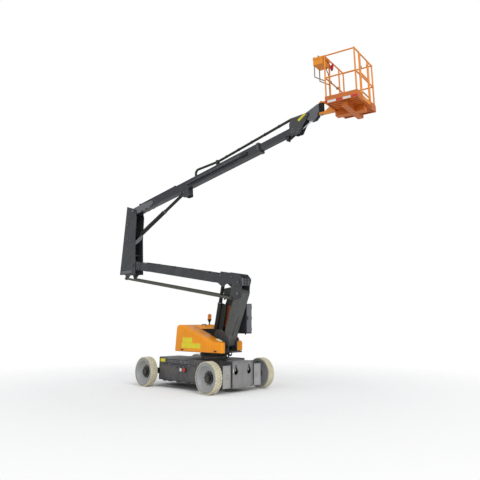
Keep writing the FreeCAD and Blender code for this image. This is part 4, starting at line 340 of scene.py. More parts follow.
class Shape:
    """One mesh that collects solids, each given in millimetres in a local place."""

    def __init__(self, name, body, paint, soften=0.0, at=None):
        self.name = name
        self.body = body
        self.paints = paint.split()
        self.soften = soften
        self.at = at or Matrix.Identity(4)
        self.mesh = bmesh.new()
        self.coat = 0

    def _set(self, made, place):
        bmesh.ops.transform(self.mesh, matrix=self.at @ place, verts=made)
        for face in {f for v in made for f in v.link_faces}:
            face.material_index = self.coat
        return self

    def use(self, index):
        """Which of the piece's paints the next solids take."""
        self.coat = index
        return self

    def block(self, x0, x1, y0, y1, z0, z1):
        made = bmesh.ops.create_cube(self.mesh, size=1)["verts"]
        middle = Matrix.Translation(((x0 + x1) / 2, (y0 + y1) / 2, (z0 + z1) / 2))
        return self._set(made, middle @ Matrix.Diagonal((abs(x1 - x0), abs(y1 - y0), abs(z1 - z0), 1)))

    def blocks(self, *rows):
        for row in rows:
            self.block(*row)
        return self

    def drum(self, start, end, r0, r1=None, sides=24):
        a, b = Vector(start), Vector(end)
        r1 = r0 if r1 is None else r1
        made = bmesh.ops.create_cone(self.mesh, cap_ends=True, segments=sides, radius1=r0, radius2=r1,
                                     depth=(b - a).length)["verts"]
        turn = (b - a).to_track_quat("Z", "Y").to_matrix().to_4x4()
        return self._set(made, Matrix.Translation((a + b) / 2) @ turn)

    def ball(self, middle, radius, flat=1.0, sides=16):
        made = bmesh.ops.create_uvsphere(self.mesh, u_segments=sides, v_segments=sides // 2, radius=radius)
        return self._set(made["verts"], Matrix.Translation(middle) @ Matrix.Diagonal((1, 1, flat, 1)))

    def sheet(self, outline, y0, y1):
        """A plate with an outline in X and Z."""
        low = [self.mesh.verts.new((x, y0, z)) for x, z in outline]
        high = [self.mesh.verts.new((x, y1, z)) for x, z in outline]
        count = len(outline)
        self.mesh.faces.new(low)
        self.mesh.faces.new(high[::-1])
        for i in range(count):
            j = (i + 1) % count
            self.mesh.faces.new((low[j], low[i], high[i], high[j]))
        return self._set(low + high, Matrix.Identity(4))

    def bolt(self, middle, way, radius=11, height=9):
        """A hexagon head on a washer."""
        a, w = Vector(middle), Vector(way).normalized()
        self.drum(a, a + w * height * 0.3, radius * 1.25, sides=16)
        return self.drum(a + w * height * 0.3, a + w * height, radius, sides=6)

    def turned(self, start, way, profile, sides=48, closed=True):
        """A ring turned about an axis from (radius, height) points."""
        turn = Vector(way).to_track_quat("Z", "Y").to_matrix().to_4x4()
        rings = []
        for k in range(sides):
            a = 2 * math.pi * k / sides
            rings.append([self.mesh.verts.new((r * math.cos(a), r * math.sin(a), h)) for r, h in profile])
        last = len(profile) if closed else len(profile) - 1
        for k in range(sides):
            here, ahead = rings[k], rings[(k + 1) % sides]
            for i in range(last):
                j = (i + 1) % len(profile)
                self.mesh.faces.new((here[i], ahead[i], ahead[j], here[j]))
        return self._set([v for ring in rings for v in ring], Matrix.Translation(start) @ turn)

    def tube(self, points, radius, sides=10):
        """A hose or bar through points, with mitred corners and closed ends."""
        line = [Vector(p) for p in points]
        rings = []
        side = None
        for i, here in enumerate(line):
            way = (line[min(i + 1, len(line) - 1)] - line[max(i - 1, 0)]).normalized()
            side = way.orthogonal() if side is None else side - way * side.dot(way)
            side.normalize()
            up = way.cross(side)
            ring = []
            for k in range(sides):
                a = 2 * math.pi * k / sides
                ring.append(self.mesh.verts.new(here + (side * math.cos(a) + up * math.sin(a)) * radius))
            rings.append(ring)
        for here, ahead in zip(rings, rings[1:]):
            for k in range(sides):
                j = (k + 1) % sides
                self.mesh.faces.new((here[k], here[j], ahead[j], ahead[k]))
        self.mesh.faces.new(rings[0][::-1])
        self.mesh.faces.new(rings[-1])
        return self._set([v for ring in rings for v in ring], Matrix.Identity(4))

    def hose(self, points, steps, radius, sides):
        """A tube on a soft curve through points."""
        return self.tube(smooth_line(points, steps), radius, sides)

    def bolts(self, xs, ys, zs, way, radius=11, height=9):
        """Bolts at every place that three rows give. A lone number is a row of one."""
        for spot in itertools.product(*(r if hasattr(r, "__iter__") else (r,) for r in (xs, ys, zs))):
            self.bolt(spot, way, radius, height)
        return self

    def done(self, *replaced, slot=None, sharp=35):
        bmesh.ops.recalc_face_normals(self.mesh, faces=self.mesh.faces)
        data = bpy.data.meshes.new(self.name)
        self.mesh.transform(Matrix.Scale(0.001, 4))
        for face in self.mesh.faces:
            face.smooth = True
        self.mesh.to_mesh(data)
        self.mesh.free()
        data.set_sharp_from_angle(angle=math.radians(sharp))
        thing = put(self.name, data)
        for paint in self.paints:
            data.materials.append(M[paint])
        if self.soften:
            cut = thing.modifiers.new("soft_edges", "BEVEL")
            cut.width = self.soften / 1000
            cut.segments = 2
            cut.limit_method = "ANGLE"
            cut.angle_limit = math.radians(40)
            cut.harden_normals = True
        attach(thing, self.body)
        if replaced:
            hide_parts(*replaced)
        return thing


def smooth_line(points, steps=5):
    """More points on a soft curve through the given ones."""
    line = [Vector(p) for p in points]
    out = [line[0]]
    for i in range(len(line) - 1):
        p0, p1 = line[max(i - 1, 0)], line[i]
        p2, p3 = line[i + 1], line[min(i + 2, len(line) - 1)]
        for k in range(1, steps + 1):
            t = k / steps
            out.append(0.5 * ((2 * p1) + (p2 - p0) * t + (2 * p0 - 5 * p1 + 4 * p2 - p3) * t * t
                              + (3 * p1 - p0 - 3 * p2 + p3) * t ** 3))
    return out


def lean(x, z, angle, y=0):
    """A place whose local X axis is raised by an angle."""
    return Matrix.Translation((x, y, z)) @ Matrix.Rotation(-math.radians(angle), 4, "Y")


def between(foot, top, y=0):
    """A place at foot whose local X axis points at top."""
    return lean(foot[0], foot[1], math.degrees(math.atan2(top[1] - foot[1], top[0] - foot[0])), y)


def apart(p, q):
    return math.hypot(q[0] - p[0], q[1] - p[1])


# Directions
AHEAD = (1, 0, 0)
BACK = (-1, 0, 0)
NEAR = (0, -1, 0)
FAR = (0, 1, 0)
UP = (0, 0, 1)
DOWN = (0, 0, -1)

# Pins, in millimetres
FOOT = (470, 1000)
TIE_FOOT = (335, 1210)
TIE_TOP = (771.04, 2289.23)
KNEE = (946.04, 2344.23)
LINK_FRONT = (691.04, 1984.23)
LINK_REAR = (-3553.4, 2641.3)
RISER_FOOT = (50, 985)
RISER_TOP = (340.04, 2370.23)
HINGE = (-3460, 4590)
LIFT_FOOT = (-3500, 3720)
LIFT_TOP = (-1323.8, 4799.1)
LEVEL_FOOT = (2379.0, 5452.1)
LEVEL_TOP = (3085, 5770)
TURN_X = 3330

# Lengths and half widths that several pieces share
UPPER_LENGTH = 4295
PLATE_Y = 142
PIN_Y = 156
LINK_PIN_Y = 190
ARM_SEAM_Y = 119
BOOM_SIDE_Y = 84
HOOD_LOW = 810
HOOD_TOP = 1395
HOOD_NOSE = 1035
RAIL_TOP = 6913
WHEEL_Y = 830
WHEEL_Z = 330
AXLE_X = {"front": 730, "rear": -1470}
TREAD_LUGS = 30
TIE_HOLE_Y = 205
TIE_HOLE_Z = 425
BEACON_FOOT = (-540, 330, 1395)
FILLER_X = 258
FILLER_Y = 468

LOWER = lean(*FOOT, 68)
TIE = lean(*TIE_FOOT, 68)
UPPER = lean(*KNEE, -8.8)
LINKS = lean(*LINK_FRONT, -8.8)
BOOM = lean(*HINGE, 10)
RISER = between(RISER_FOOT, RISER_TOP, -50)
LIFT = between(LIFT_FOOT, LIFT_TOP)
LEVEL = between(LEVEL_FOOT, LEVEL_TOP)
CAGE_AT = Matrix.Translation((TURN_X, 0, 0)) @ Matrix.Rotation(math.radians(10), 4, "Z")

# Camera, light and floor


def shader_node(tree, kind, **values):
    """A node of a tree, with the values of its inputs by name."""
    node = tree.nodes.new(kind)
    for key, value in values.items():
        node.inputs[key.replace("_", " ")].default_value = value
    return node


def wires(tree, *pairs):
    for source, socket in pairs:
        tree.links.new(source, socket)


def put(name, data):
    """An object of the scene, made from its data."""
    thing = bpy.data.objects.new(name, data)
    bpy.context.scene.collection.objects.link(thing)
    return thing


def stage():
    """Camera, two lamps, sky and floor."""
    view = bpy.data.cameras.new("camera")
    view.sensor_width = 36
    view.lens = 39.53
    view.shift_x = -0.0167
    view.shift_y = -0.1667
    view.clip_end = 200
    eye = put("camera", view)
    eye.location = (9.591, -8.986, 1.501)
    eye.rotation_euler = (math.radians(106.9), 0, math.radians(43.4))
    bpy.context.scene.camera = eye
    bpy.context.scene.view_settings.view_transform = "Standard"

    for name, way, strength, spread in (
        ("key", (-0.78, 0.22, -0.58), 1.35, 38), ("fill", (0.25, 0.80, -0.55), 0.55, 60),
    ):
        lamp = bpy.data.lights.new(name, "SUN")
        lamp.energy = strength
        lamp.angle = math.radians(spread)
        put(name, lamp).rotation_euler = Vector(way).to_track_quat("-Z", "Y").to_euler()

    # A soft sky for the object, and plain white where the camera looks past it
    world = bpy.data.worlds.new("studio")
    world.use_nodes = True
    bpy.context.scene.world = world
    tree = world.node_tree
    tree.nodes.clear()
    out = tree.nodes.new("ShaderNodeOutputWorld")
    pick = tree.nodes.new("ShaderNodeMixShader")
    soft = shader_node(tree, "ShaderNodeBackground", Color=(0.97, 0.985, 1, 1), Strength=0.62)
    clear = shader_node(tree, "ShaderNodeBackground", Color=(1, 1, 1, 1), Strength=1)
    path = tree.nodes.new("ShaderNodeLightPath")
    most = tree.nodes.new("ShaderNodeMath")
    most.operation = "MAXIMUM"
    wires(tree, (path.outputs["Is Camera Ray"], most.inputs[0]),
          (path.outputs["Is Transmission Ray"], most.inputs[1]), (most.outputs[0], pick.inputs[0]),
          (soft.outputs[0], pick.inputs[1]), (clear.outputs[0], pick.inputs[2]),
          (pick.outputs[0], out.inputs["Surface"]))

    # The floor, which fades out away from the machine
    ground = bmesh.new()
    bmesh.ops.create_grid(ground, x_segments=2, y_segments=2, size=40)
    data = bpy.data.meshes.new("studio_floor")
    ground.to_mesh(data)
    ground.free()
    floor = put("studio_floor", data)
    paper = bpy.data.materials.new("studio_paper")
    paper.use_nodes = True
    tree = paper.node_tree
    shader = [n for n in tree.nodes if n.type == "BSDF_PRINCIPLED"][0]
    shader.inputs["Base Color"].default_value = (0.93, 0.93, 0.93, 1)
    shader.inputs["Roughness"].default_value = 1
    shader.inputs["Specular IOR Level"].default_value = 0
    last = [n for n in tree.nodes if n.type == "OUTPUT_MATERIAL"][0]
    place = tree.nodes.new("ShaderNodeTexCoord")
    length = tree.nodes.new("ShaderNodeVectorMath")
    length.operation = "LENGTH"
    fade = shader_node(tree, "ShaderNodeMapRange", From_Min=3.5, From_Max=8.5)
    through = tree.nodes.new("ShaderNodeBsdfTransparent")
    pick = tree.nodes.new("ShaderNodeMixShader")
    wires(tree, (place.outputs["Object"], length.inputs[0]), (length.outputs["Value"], fade.inputs["Value"]),
          (fade.outputs["Result"], pick.inputs[0]), (shader.outputs[0], pick.inputs[1]),
          (through.outputs[0], pick.inputs[2]), (pick.outputs[0], last.inputs["Surface"]))
    data.materials.append(paper)


stage()


def wheel(end, side):
    """Lugged solid tyre, dished wheel and hub cover of one corner."""
    out = -1 if side == "near" else 1
    middle = Vector((AXLE_X[end], out * WHEEL_Y, WHEEL_Z))
    way = (0, out, 0)
    body = "wheel_%s_%s" % (end, side)
    tag = "%s_%s" % (end, side)
    tyre = Shape("tread_" + tag, body, "wall tread")
    tyre.turned(middle, way, [(273, -84), (280, -91), (290, -95), (296, -93), (300, -95), (309, -91),
        (314, -82), (315, -60), (315, 60), (314, 82), (309, 91), (300, 95), (296, 93), (290, 95), (280, 91),
        (273, 84)], 72)
    tyre.use(1).turned(middle, way, [(314, -79), (317, -79), (317, 79), (314, 79)], 72)
    turn = Vector(way).to_track_quat("Z", "Y").to_matrix().to_4x4()
    for k in range(TREAD_LUGS):
        for low, high, shift in ((-92, -36, 0.0), (-29, 29, 0.5), (36, 92, 0.0)):
            a = 2 * math.pi * (k + shift) / TREAD_LUGS
            corner = []
            for step in (-1, 0, 1):
                for radius, trim in ((310, 0.0), (326, 1.5), (330, 5.0)):
                    angle = a + step * (0.09 - trim / 330)
                    drop = 6 if radius == 330 and abs(low + high) > 20 else 0
                    ends = ((low + trim + (drop if low < -50 else 0)),
                        (high - trim - (drop if high > 50 else 0)))
                    for h in ends:
                        spot = (radius * math.cos(angle), radius * math.sin(angle), h)
                        corner.append(tyre.mesh.verts.new(spot))

            def at(i, j, e):
                return corner[i * 6 + j * 2 + e]

            for i in (0, 1):
                tyre.mesh.faces.new((at(i, 2, 0), at(i, 2, 1), at(i + 1, 2, 1), at(i + 1, 2, 0)))
                for j in (0, 1):
                    for e in (0, 1):
                        face = [at(i, j, e), at(i, j + 1, e), at(i + 1, j + 1, e), at(i + 1, j, e)]
                        tyre.mesh.faces.new(face)
            for i in (0, 2):
                for j in (0, 1):
                    tyre.mesh.faces.new((at(i, j, 0), at(i, j + 1, 0), at(i, j + 1, 1), at(i, j, 1)))
            tyre._set(corner, Matrix.Translation(middle) @ turn)
    tyre.done("tyre_" + tag, slot="tyre", sharp=28)

    dish = Shape("wheel_dish_" + tag, body, "rim zinc")
    dish.turned(middle, way, [(262, 72), (262, 88), (257, 91), (251, 88), (244, 72), (226, 30), (196, 2),
        (160, -12), (122, -16), (122, -22), (164, -18), (202, -5), (232, 22), (252, 66)], 72)
    dish.use(1)
    for k in range(10):
        a = 2 * math.pi * k / 10
        spot = middle + Vector((142 * math.cos(a), out * -14, 142 * math.sin(a)))
        dish.bolt(spot, way, 11, 16)
    dish.done()
    hub = Shape("hub_cap_" + tag, body, "black zinc")
    hub.turned(middle, way, [(128, -20), (128, -2), (120, 6), (94, 9), (86, 16), (84, 50), (75, 60),
        (20, 61), (20, 50), (60, 49), (80, -20)], 48)
    hub.drum(middle + Vector((0, out * 50, 0)), middle + Vector((0, out * 58, 0)), 24)
    hub.use(1)
    for count, reach, up in ((12, 107, 7), (6, 56, 60)):
        for k in range(count):
            a = 2 * math.pi * (k + 0.5) / count
            hub.bolt(middle + Vector((reach * math.cos(a), out * up, reach * math.sin(a))), way, 8, 8)
    hub.drum(middle + Vector((0, out * 57, 0)), middle + Vector((0, out * 66, 0)), 13, sides=6)
    hub.done()


for end in ("front", "rear"):
    for side in ("near", "far"):
        wheel(end, side)


def chassis_details():
    """Deck trim, side doors, stop knobs, rims of the front plate, guards, rear panel and ring gear."""
    trim = Shape("deck_trim", "chassis", "panel seal zinc", 1.2)
    for y in (-1, 1):
        trim.use(0).blocks((-1130, 330, y * 680, y * 684, 612, 640),
            (-1130, 330, y * 676, y * 683, 545, 556))
        trim.use(1)
        for x in (-1010, -905, -640, -560, -480, -330, -60, 40, 130, 215):
            wide = 58 if x in (-330, 130) else 34
            trim.block(x, x + wide, y * 679, y * 682.5, 577, 597)
        trim.use(2).bolts(range(-1080, 320, 175), y * 655, 640, UP, 9, 7)
    trim.use(0).blocks((-1133, -1126, -684, 684, 560, 641), (326, 333, -684, 684, 600, 641))
    trim.done()

    for side, y in (("near", -1), ("far", 1)):
        door = Shape("side_door_" + side, "chassis", "panel seal plastic zinc", 2.5)
        door.blocks((-1104, -402, y * 700, y * 705, 196, 512), (-392, 286, y * 700, y * 705, 196, 512))
        door.use(1).block(-1112, 292, y * 699, y * 701.5, 188, 520)
        door.use(0).block(-1120, 300, y * 698, y * 709, 524, 542)
        door.use(2)
        for x in (-470, -340):
            door.block(x - 22, x + 22, y * 704, y * 711, 455, 488)
            door.drum((x, y * 709, 471), (x, y * 714, 471), 9)
        door.use(3)
        for x in (-1060, -760, -60, 240):
            door.drum((x - 35, y * 708, 521), (x + 35, y * 708, 521), 6, sides=12)
        door.done()
        feet = Shape("box_feet_" + side, "chassis", "black", 2)
        for x in (-1010, -820, -520, -180, 120):
            feet.sheet([(x, 176), (x + 120, 176), (x + 100, 150), (x + 24, 150)], y * 560, y * 690)
        feet.done()
        stop = Shape("stop_knob_" + side, "chassis", "black red white", 1)
        stop.turned((-193, y * 704, 426), (0, y, 0), [(20, 0), (54, 0), (54, 9), (47, 15), (20, 15)], 32)
        stop.use(1).turned((-193, y * 704, 426), (0, y, 0),
            [(1, 10), (20, 12), (22, 24), (38, 27), (41, 33), (37, 41), (18, 45), (1, 46)], 32,
            closed=False)
        stop.use(2).block(-384, -318, y * 705, y * 706.5, 390, 466)
        stop.done()
        plates = Shape("blank_plate_" + side, "chassis", "yellow")
        plates.block(-1122, -950, y * 684, y * 686, 562, 632)
        plates.done()

    front = Shape("front_trim", "chassis", "plate zinc pale", 1.5)
    for y in (-318, 306):
        front.block(930, 944, y, y + 12, 100, 636)
    front.blocks((930, 940, -318, 318, 628, 640), (930, 938, -318, 318, 95, 107))
    for y in (-TIE_HOLE_Y, TIE_HOLE_Y):
        ring = []
        for k in range(40):
            a = 2 * math.pi * k / 40
            above = max(0, math.sin(a) - 0.2)
            ring.append((935, y + 68 * math.cos(a) * (1 - 0.62 * above / 0.8),
                TIE_HOLE_Z + (68 + 78 * above ** 1.6) * math.sin(a)))
        front.tube(ring + [ring[0]], 5, 8)
    front.use(1).bolts(930, (-285, -100, 100, 285), (135, 600), AHEAD, 11, 9)
    front.use(2).block(930, 931.5, -292, -272, 395, 470)
    front.done()
    lugs = Shape("tie_lugs", "chassis", "steel", 1)
    for y in (-TIE_HOLE_Y, TIE_HOLE_Y):
        lugs.turned((884, y + 8, 452), (0.3, 1, 0), [(20, -8), (38, -8), (38, 8), (20, 8)], 32)
        lugs.blocks((858, 874, y - 14, y + 26, 425, 520), (872, 888, y - 6, y + 22, 486, 512))
        lugs.bolt((874, y - 2, 540), AHEAD, 12, 10)
    lugs.done()
    guards = Shape("guard_trim", "chassis", "guard zinc", 1.5)
    for y in (-1, 1):
        guards.use(0).blocks((900, 932, y * 370, y * 378, 105, 560), (904, 924, y * 592, y * 600, 105, 560),
            (908, 930, y * 372, y * 598, 548, 560), (908, 924, y * 372, y * 598, 105, 115))
        guards.use(1)
        for y2 in (430, 480):
            guards.bolts(918, y * y2, (300, 360), AHEAD, 10, 8)
    guards.done()

    rear = Shape("rear_panel", "chassis", "panel seal red smoke zinc", 2)
    rear.blocks((-1662, -1650, -300, 300, 122, 620), (-1668, -1660, -270, -20, 330, 590))
    rear.use(1).block(-1670, -1667, -150, -60, 420, 520)
    rear.use(3).turned((-1662, 140, 470), BACK, [(20, 0), (52, 0), (52, 14), (44, 18), (20, 18)], 32)
    rear.use(1).drum((-1664, 140, 470), (-1676, 140, 470), 36)
    rear.use(2)
    for y in (-235, 235):
        rear.drum((-1660, y, 220), (-1672, y, 220), 34, 30)
    rear.use(4).bolts(-1662, (-280, 280), (145, 370, 598), BACK, 11, 9)
    for y in (-40, 24):
        rear.use(0).sheet([(-1662, 160), (-1735, 175), (-1748, 215), (-1735, 255), (-1662, 272)], y, y + 16)
    rear.use(4).drum((-1715, -52, 215), (-1715, 52, 215), 15)
    rear.done()

    teeth = Shape("ring_teeth", "chassis", "zinc")
    for k in range(96):
        a = 2 * math.pi * k / 96
        spin = Matrix.Rotation(a, 4, "Z")
        low = [(286, -6), (286, 6), (305, 3.2), (305, -3.2)]
        rings = [[teeth.mesh.verts.new(spin @ Vector((x, y, z))) for x, y in low] for z in (652, 706)]
        teeth.mesh.faces.new(rings[0][::-1])
        teeth.mesh.faces.new(rings[1])
        for i in range(4):
            j = (i + 1) % 4
            teeth.mesh.faces.new((rings[0][i], rings[0][j], rings[1][j], rings[1][i]))
    teeth.done()


chassis_details()


def turntable_details():
    """Slew bolts, pump, valves, hoses, cabinet door, counterweight and cover trim."""
    ring = Shape("slew_bolts", "turntable", "black zinc")
    ring.turned((0, 0, 0), UP, [(314, 728), (326, 728), (326, 752), (320, 758), (320, 790), (314, 796)], 96)
    ring.use(1)
    for k in range(36):
        a = 2 * math.pi * k / 36
        if abs(302 * math.sin(a)) > 232:
            ring.bolt((302 * math.cos(a), 302 * math.sin(a), 800), UP, 10, 10)
    ring.bolts((-600, -420, -240, 620, 660), (-190, 190), 830, UP, 12, 10)
    ring.done()

    pump = Shape("pump_motor", "turntable", "black smoke zinc", 2)
    pump.drum((-243, -48, 905), (-100, -48, 905), 58, sides=40)
    for x in range(-234, -108, 16):
        pump.drum((x, -48, 905), (x + 7, -48, 905), 61, sides=40)
    pump.drum((-247, -48, 905), (-242, -48, 905), 40, sides=32)
    pump.use(1).drum((-100, -48, 905), (-80, -48, 905), 48, sides=32)
    pump.blocks((-80, -22, -92, -6, 862, 948), (-238, -110, -96, 0, 832, 850))
    pump.use(2).bolts(-22, (-80, -16), (875, 935), AHEAD, 7, 6)
    pump.done()
    valves = Shape("valve_block", "turntable", "steel plastic brass red smoke", 1.2)
    valves.block(-210, 30, 28, 104, 832, 905)
    valves.use(1)
    for x in range(-190, 20, 48):
        valves.drum((x, 52, 905), (x, 52, 958), 15, sides=20)
        valves.block(x - 16, x + 16, 66, 90, 905, 940)
    valves.use(2)
    for x in range(-178, 20, 48):
        valves.drum((x, 28, 868), (x, 8, 868), 9, sides=6)
    valves.use(3)
    for x in (-142, -46):
        valves.drum((x, 52, 958), (x, 52, 968), 11, sides=16)
    valves.use(4).drum((40, 66, 832), (40, 66, 1000), 34, sides=28)
    valves.use(3).drum((40, 66, 1000), (40, 66, 1014), 22, sides=16)
    valves.done()
    hoses = Shape("pump_hoses", "turntable", "hose zinc")
    routes = [[(-178, 8, 868), (-178, -8, 880), (-150, -20, 970), (-90, -34, 985), (-50, -46, 968),
        (-48, -49, 948)], [(-130, 8, 868), (-130, 2, 890), (-100, 16, 985), (20, 22, 1000), (60, 34, 930),
        (70, 60, 850)], [(-82, 8, 868), (-80, 12, 850), (40, 22, 846), (66, 100, 842)],
        [(-22, -48, 905), (-12, -60, 900), (-9, -90, 870), (-8, -104, 842)], ]
    for route in routes:
        hoses.use(0).hose(route, 6, 9, 10)
        start = Vector(route[0])
        hoses.use(1).drum(start, start + (Vector(route[1]) - start).normalized() * 14, 13, sides=6)
    hoses.done()

    case = Shape("cabinet_door", "turntable", "cabinet plastic zinc seal cast", 2)
    x1, y0, y1, z0, z1 = 812, 250, 420, 1223, 1863
    case.use(4).block(x1, x1 + 4, y0 + 4, y1 - 4, z0 + 8, z1 - 9)
    case.use(3).block(x1 - 1, x1 + 1, y0 + 6, y1 - 6, z0 + 10, z1 - 11)
    case.use(0).blocks((466, x1 + 8, y0 - 6, y1 + 6, z1 - 2, z1 + 6),
        (482, x1 - 12, y0 - 4, y0 + 1, z0 + 22, z1 - 23))
    case.use(1).block(x1 + 4, x1 + 10, 270, 294, 1500, 1590)
    case.drum((x1 + 8, 282, 1570), (x1 + 16, 282, 1570), 9)
    case.block(x1 + 10, x1 + 18, 276, 288, 1515, 1575)
    case.use(2)
    for z in (1300, 1545, 1790):
        case.drum((x1 + 6, y1 - 6, z - 34), (x1 + 6, y1 - 6, z + 34), 7, sides=14)
    for x in (500, 782):
        for z in (1262, 1824):
            case.bolt((x, y0 - 4, z), NEAR, 7, 5)
            case.bolt((x, y1, z), FAR, 7, 5)
    case.use(0)
    for i in range(7):
        z = 1680 + i * 20
        case.sheet([(532, z), (752, z), (748, z + 9), (536, z + 9)], y1, y1 + 6)
    case.use(1).drum((430, 330, 1204), (430, 330, 1176), 18, sides=20)
    case.drum((700, 330, 1204), (700, 330, 1176), 14, sides=20)
    case.done()
    conduit = Shape("cabinet_conduit", "turntable", "hose zinc")
    conduit.hose([(430, 330, 1178), (424, 326, 1140), (390, 314, 1100), (378, 307, 1050), (376, 305, 960),
        (376, 300, 880), (360, 262, 845), (300, 205, 842)], 6, 11, 10)
    conduit.use(1)
    for z in (950, 890):
        conduit.block(362, 390, 290, 319, z - 9, z + 9)
    conduit.done()

    weight = Shape("counterweight_trim", "turntable", "weight zinc", 3)
    weight.block(-644, -634, -190, 190, 850, 1160)
    weight.use(0).block(-262, -246, -200, 200, 1200, 1300)
    weight.use(1).bolts(-644, (-160, 160), (880, 1130), BACK, 14, 12)
    for y in (-330, 330):
        weight.turned((-440, y, 1190), UP, [(12, 0), (26, 0), (26, 6), (12, 6)], 24)
    lip = Shape("cover_trim", "turntable", "seal plastic zinc", 1)
    lip.block(-208, -194, -214, 214, 1288, 1303)
    lip.at = lean(-470, 1395, -19.26)
    lip.use(2).bolts((30, 240), (-150, 150), 0, UP, 10, 6)
    lip.use(1).hose([(90, -60, -2), (92, -60, 34), (96, -50, 42), (96, 50, 42), (92, 60, 34), (90, 60, -2)],
        4, 8, 10)
    lip.at = Matrix.Identity(4)
    for i in range(6):
        lip.use(0).block(-645, -635, -150, 150, 1215 + i * 22, 1225 + i * 22)
    lip.done()
    weight.done()
    ring = Shape("tow_ring", "turntable", "black seal", 0.5)
    ring.tube([(742 + 30 * math.cos(k * math.pi / 16), -215 + 30 * math.cos(k * math.pi / 16),
        786 + 42 * math.sin(k * math.pi / 16)) for k in range(33)], 10, 10)
    ring.use(1).hose([(702, -120, 800), (735, -150, 780), (745, -190, 760), (715, -150, 745),
        (640, -120, 760), (600, -100, 795)], 5, 11, 10)
    ring.done()
    pivot = Shape("foot_caps", "turntable", "black zinc", 1)
    for y in (-142, 142):
        s = 1 if y > 0 else -1
        pivot.use(0).block(540, 600, y, y + s * 6, 880, 940)
        pivot.use(1)
        for x, z in ((-60, 880), (60, 880), (190, 880), (320, 880), (450, 880), (580, 870)):
            pivot.bolt((x, y, z), (0, s, 0), 11, 9)
    pivot.done()


turntable_details()


def offset_corners(corners, reach):
    """Corners (x, z, radius) moved inward by reach, apart from the lowest edge."""
    count = len(corners)
    lines = []
    for i in range(count):
        x0, z0, _ = corners[i]
        x1, z1, _ = corners[(i + 1) % count]
        way = Vector((x1 - x0, z1 - z0)).normalized()
        inward = Vector((-way.y, way.x))
        shift = 0 if i == 0 else reach
        lines.append((Vector((x0, z0)) + inward * shift, way))
    out = []
    for i in range(count):
        (p, u), (q, v) = lines[i - 1], lines[i]
        t = ((q.x - p.x) * v.y - (q.y - p.y) * v.x) / (u.x * v.y - u.y * v.x)
        spot = p + u * t
        out.append((spot.x, spot.y, max(corners[i][2] - reach, 9)))
    return out


def arc_points(corners, steps=6):
    """Points round corners with a radius, the same count for each corner."""
    out = []
    count = len(corners)
    for i in range(count):
        x, z, radius = corners[i]
        here = Vector((x, z))
        back = (Vector(corners[i - 1][:2]) - here).normalized()
        ahead = (Vector(corners[(i + 1) % count][:2]) - here).normalized()
        half = math.acos(max(-1, min(1, back.dot(ahead)))) / 2
        reach = radius / math.tan(half)
        middle = here + (back + ahead).normalized() * (radius / math.sin(half))
        a, b = here + back * reach - middle, here + ahead * reach - middle
        sweep = a.angle_signed(b)
        for k in range(steps + 1):
            turn = -sweep * k / steps
            out.append((middle.x + a.x * math.cos(turn) - a.y * math.sin(turn),
                middle.y + a.x * math.sin(turn) + a.y * math.cos(turn)))
    return out


def hood(side, front):
    """The rounded shell of a hood with its hinges, louvres, latches and handle."""
    sign = -1 if side == "near" else 1
    slope_end = front - 325 if side == "near" else front - 160
    corners = [(-690, HOOD_LOW, 40), (front, HOOD_LOW, 25), (front, HOOD_NOSE, 60),
        (slope_end, HOOD_NOSE, 120), (-470, HOOD_TOP, 120), (-642, HOOD_TOP, 85)]
    shell = Shape("hood_shell_" + side, "hood_" + side, "hood seal")
    rings = []
    for y, reach in ((226, 0), (598, 0), (611, 3), (617, 9), (620, 20)):
        flat = arc_points(corners if not reach else offset_corners(corners, reach))
        clip = 0.7 if side == "near" and y == 226 else 0
        rings.append([shell.mesh.verts.new((x, sign * (y + clip * max(0, x - 480)), z)) for x, z in flat])
    count = len(rings[0])
    for here, ahead in zip(rings, rings[1:]):
        for i in range(count):
            j = (i + 1) % count
            if i == 6:
                continue
            shell.mesh.faces.new((here[i], here[j], ahead[j], ahead[i]))
    shell.mesh.faces.new(rings[-1])
    shell._set([v for ring in rings for v in ring], Matrix.Identity(4))
    made = shell.done("hood_" + side, slot="hood_paint", sharp=32)
    wall = made.modifiers.new("wall", "SOLIDIFY")
    wall.thickness = 0.008
    wall.offset = -1
    trim = Shape("hood_trim_" + side, "hood_" + side, "seal zinc plastic hood", 1)
    s = sign
    trim.block(-640, front - 30, s * 612, s * 621.5, 811, 818)
    for z in (880, 1120):
        trim.use(3).drum((-702, s * 213, z), (-702, s * 213, z + 60), 10, sides=20)
        trim.block(-704, -657, s * 206, s * 235, z + 2, z + 58)
        trim.use(1).bolts(-668, s * 206, (z + 16, z + 44), (0, -s, 0), 5, 3)
    trim.use(0)
    for i in range(7):
        z = 900 + i * 34
        lean_x = -684 + (z - HOOD_LOW) * 48 / (HOOD_TOP - HOOD_LOW)
        trim.block(lean_x - 7, lean_x - 1, s * 330, s * 520, z, z + 12)
    trim.use(2)
    for x in (-420, front - 190):
        trim.blocks((x - 42, x + 42, s * 619, s * 626, 835, 862),
            (x - 30, x + 30, s * 625, s * 631, 842, 856))
    trim.use(1)
    for x in (-420, front - 190):
        for dx in (-36, 36):
            trim.bolt((x + dx, s * 625, 848), (0, s, 0), 5, 4)
    run = Vector((slope_end + 470, HOOD_NOSE - HOOD_TOP)).normalized()
    a = Vector((-300, s * 300, HOOD_TOP - 170 * 0.35))
    trim.use(2 if s > 0 else 3)
    grip = [a, a + Vector((6, 0, 42)), a + Vector((150 * run.x, 0, 150 * run.y + 42)),
        a + Vector((156 * run.x, 0, 150 * run.y))]
    trim.hose(grip, 5, 8, 10)
    trim.done()


hood("near", 885)
hood("far", 330)

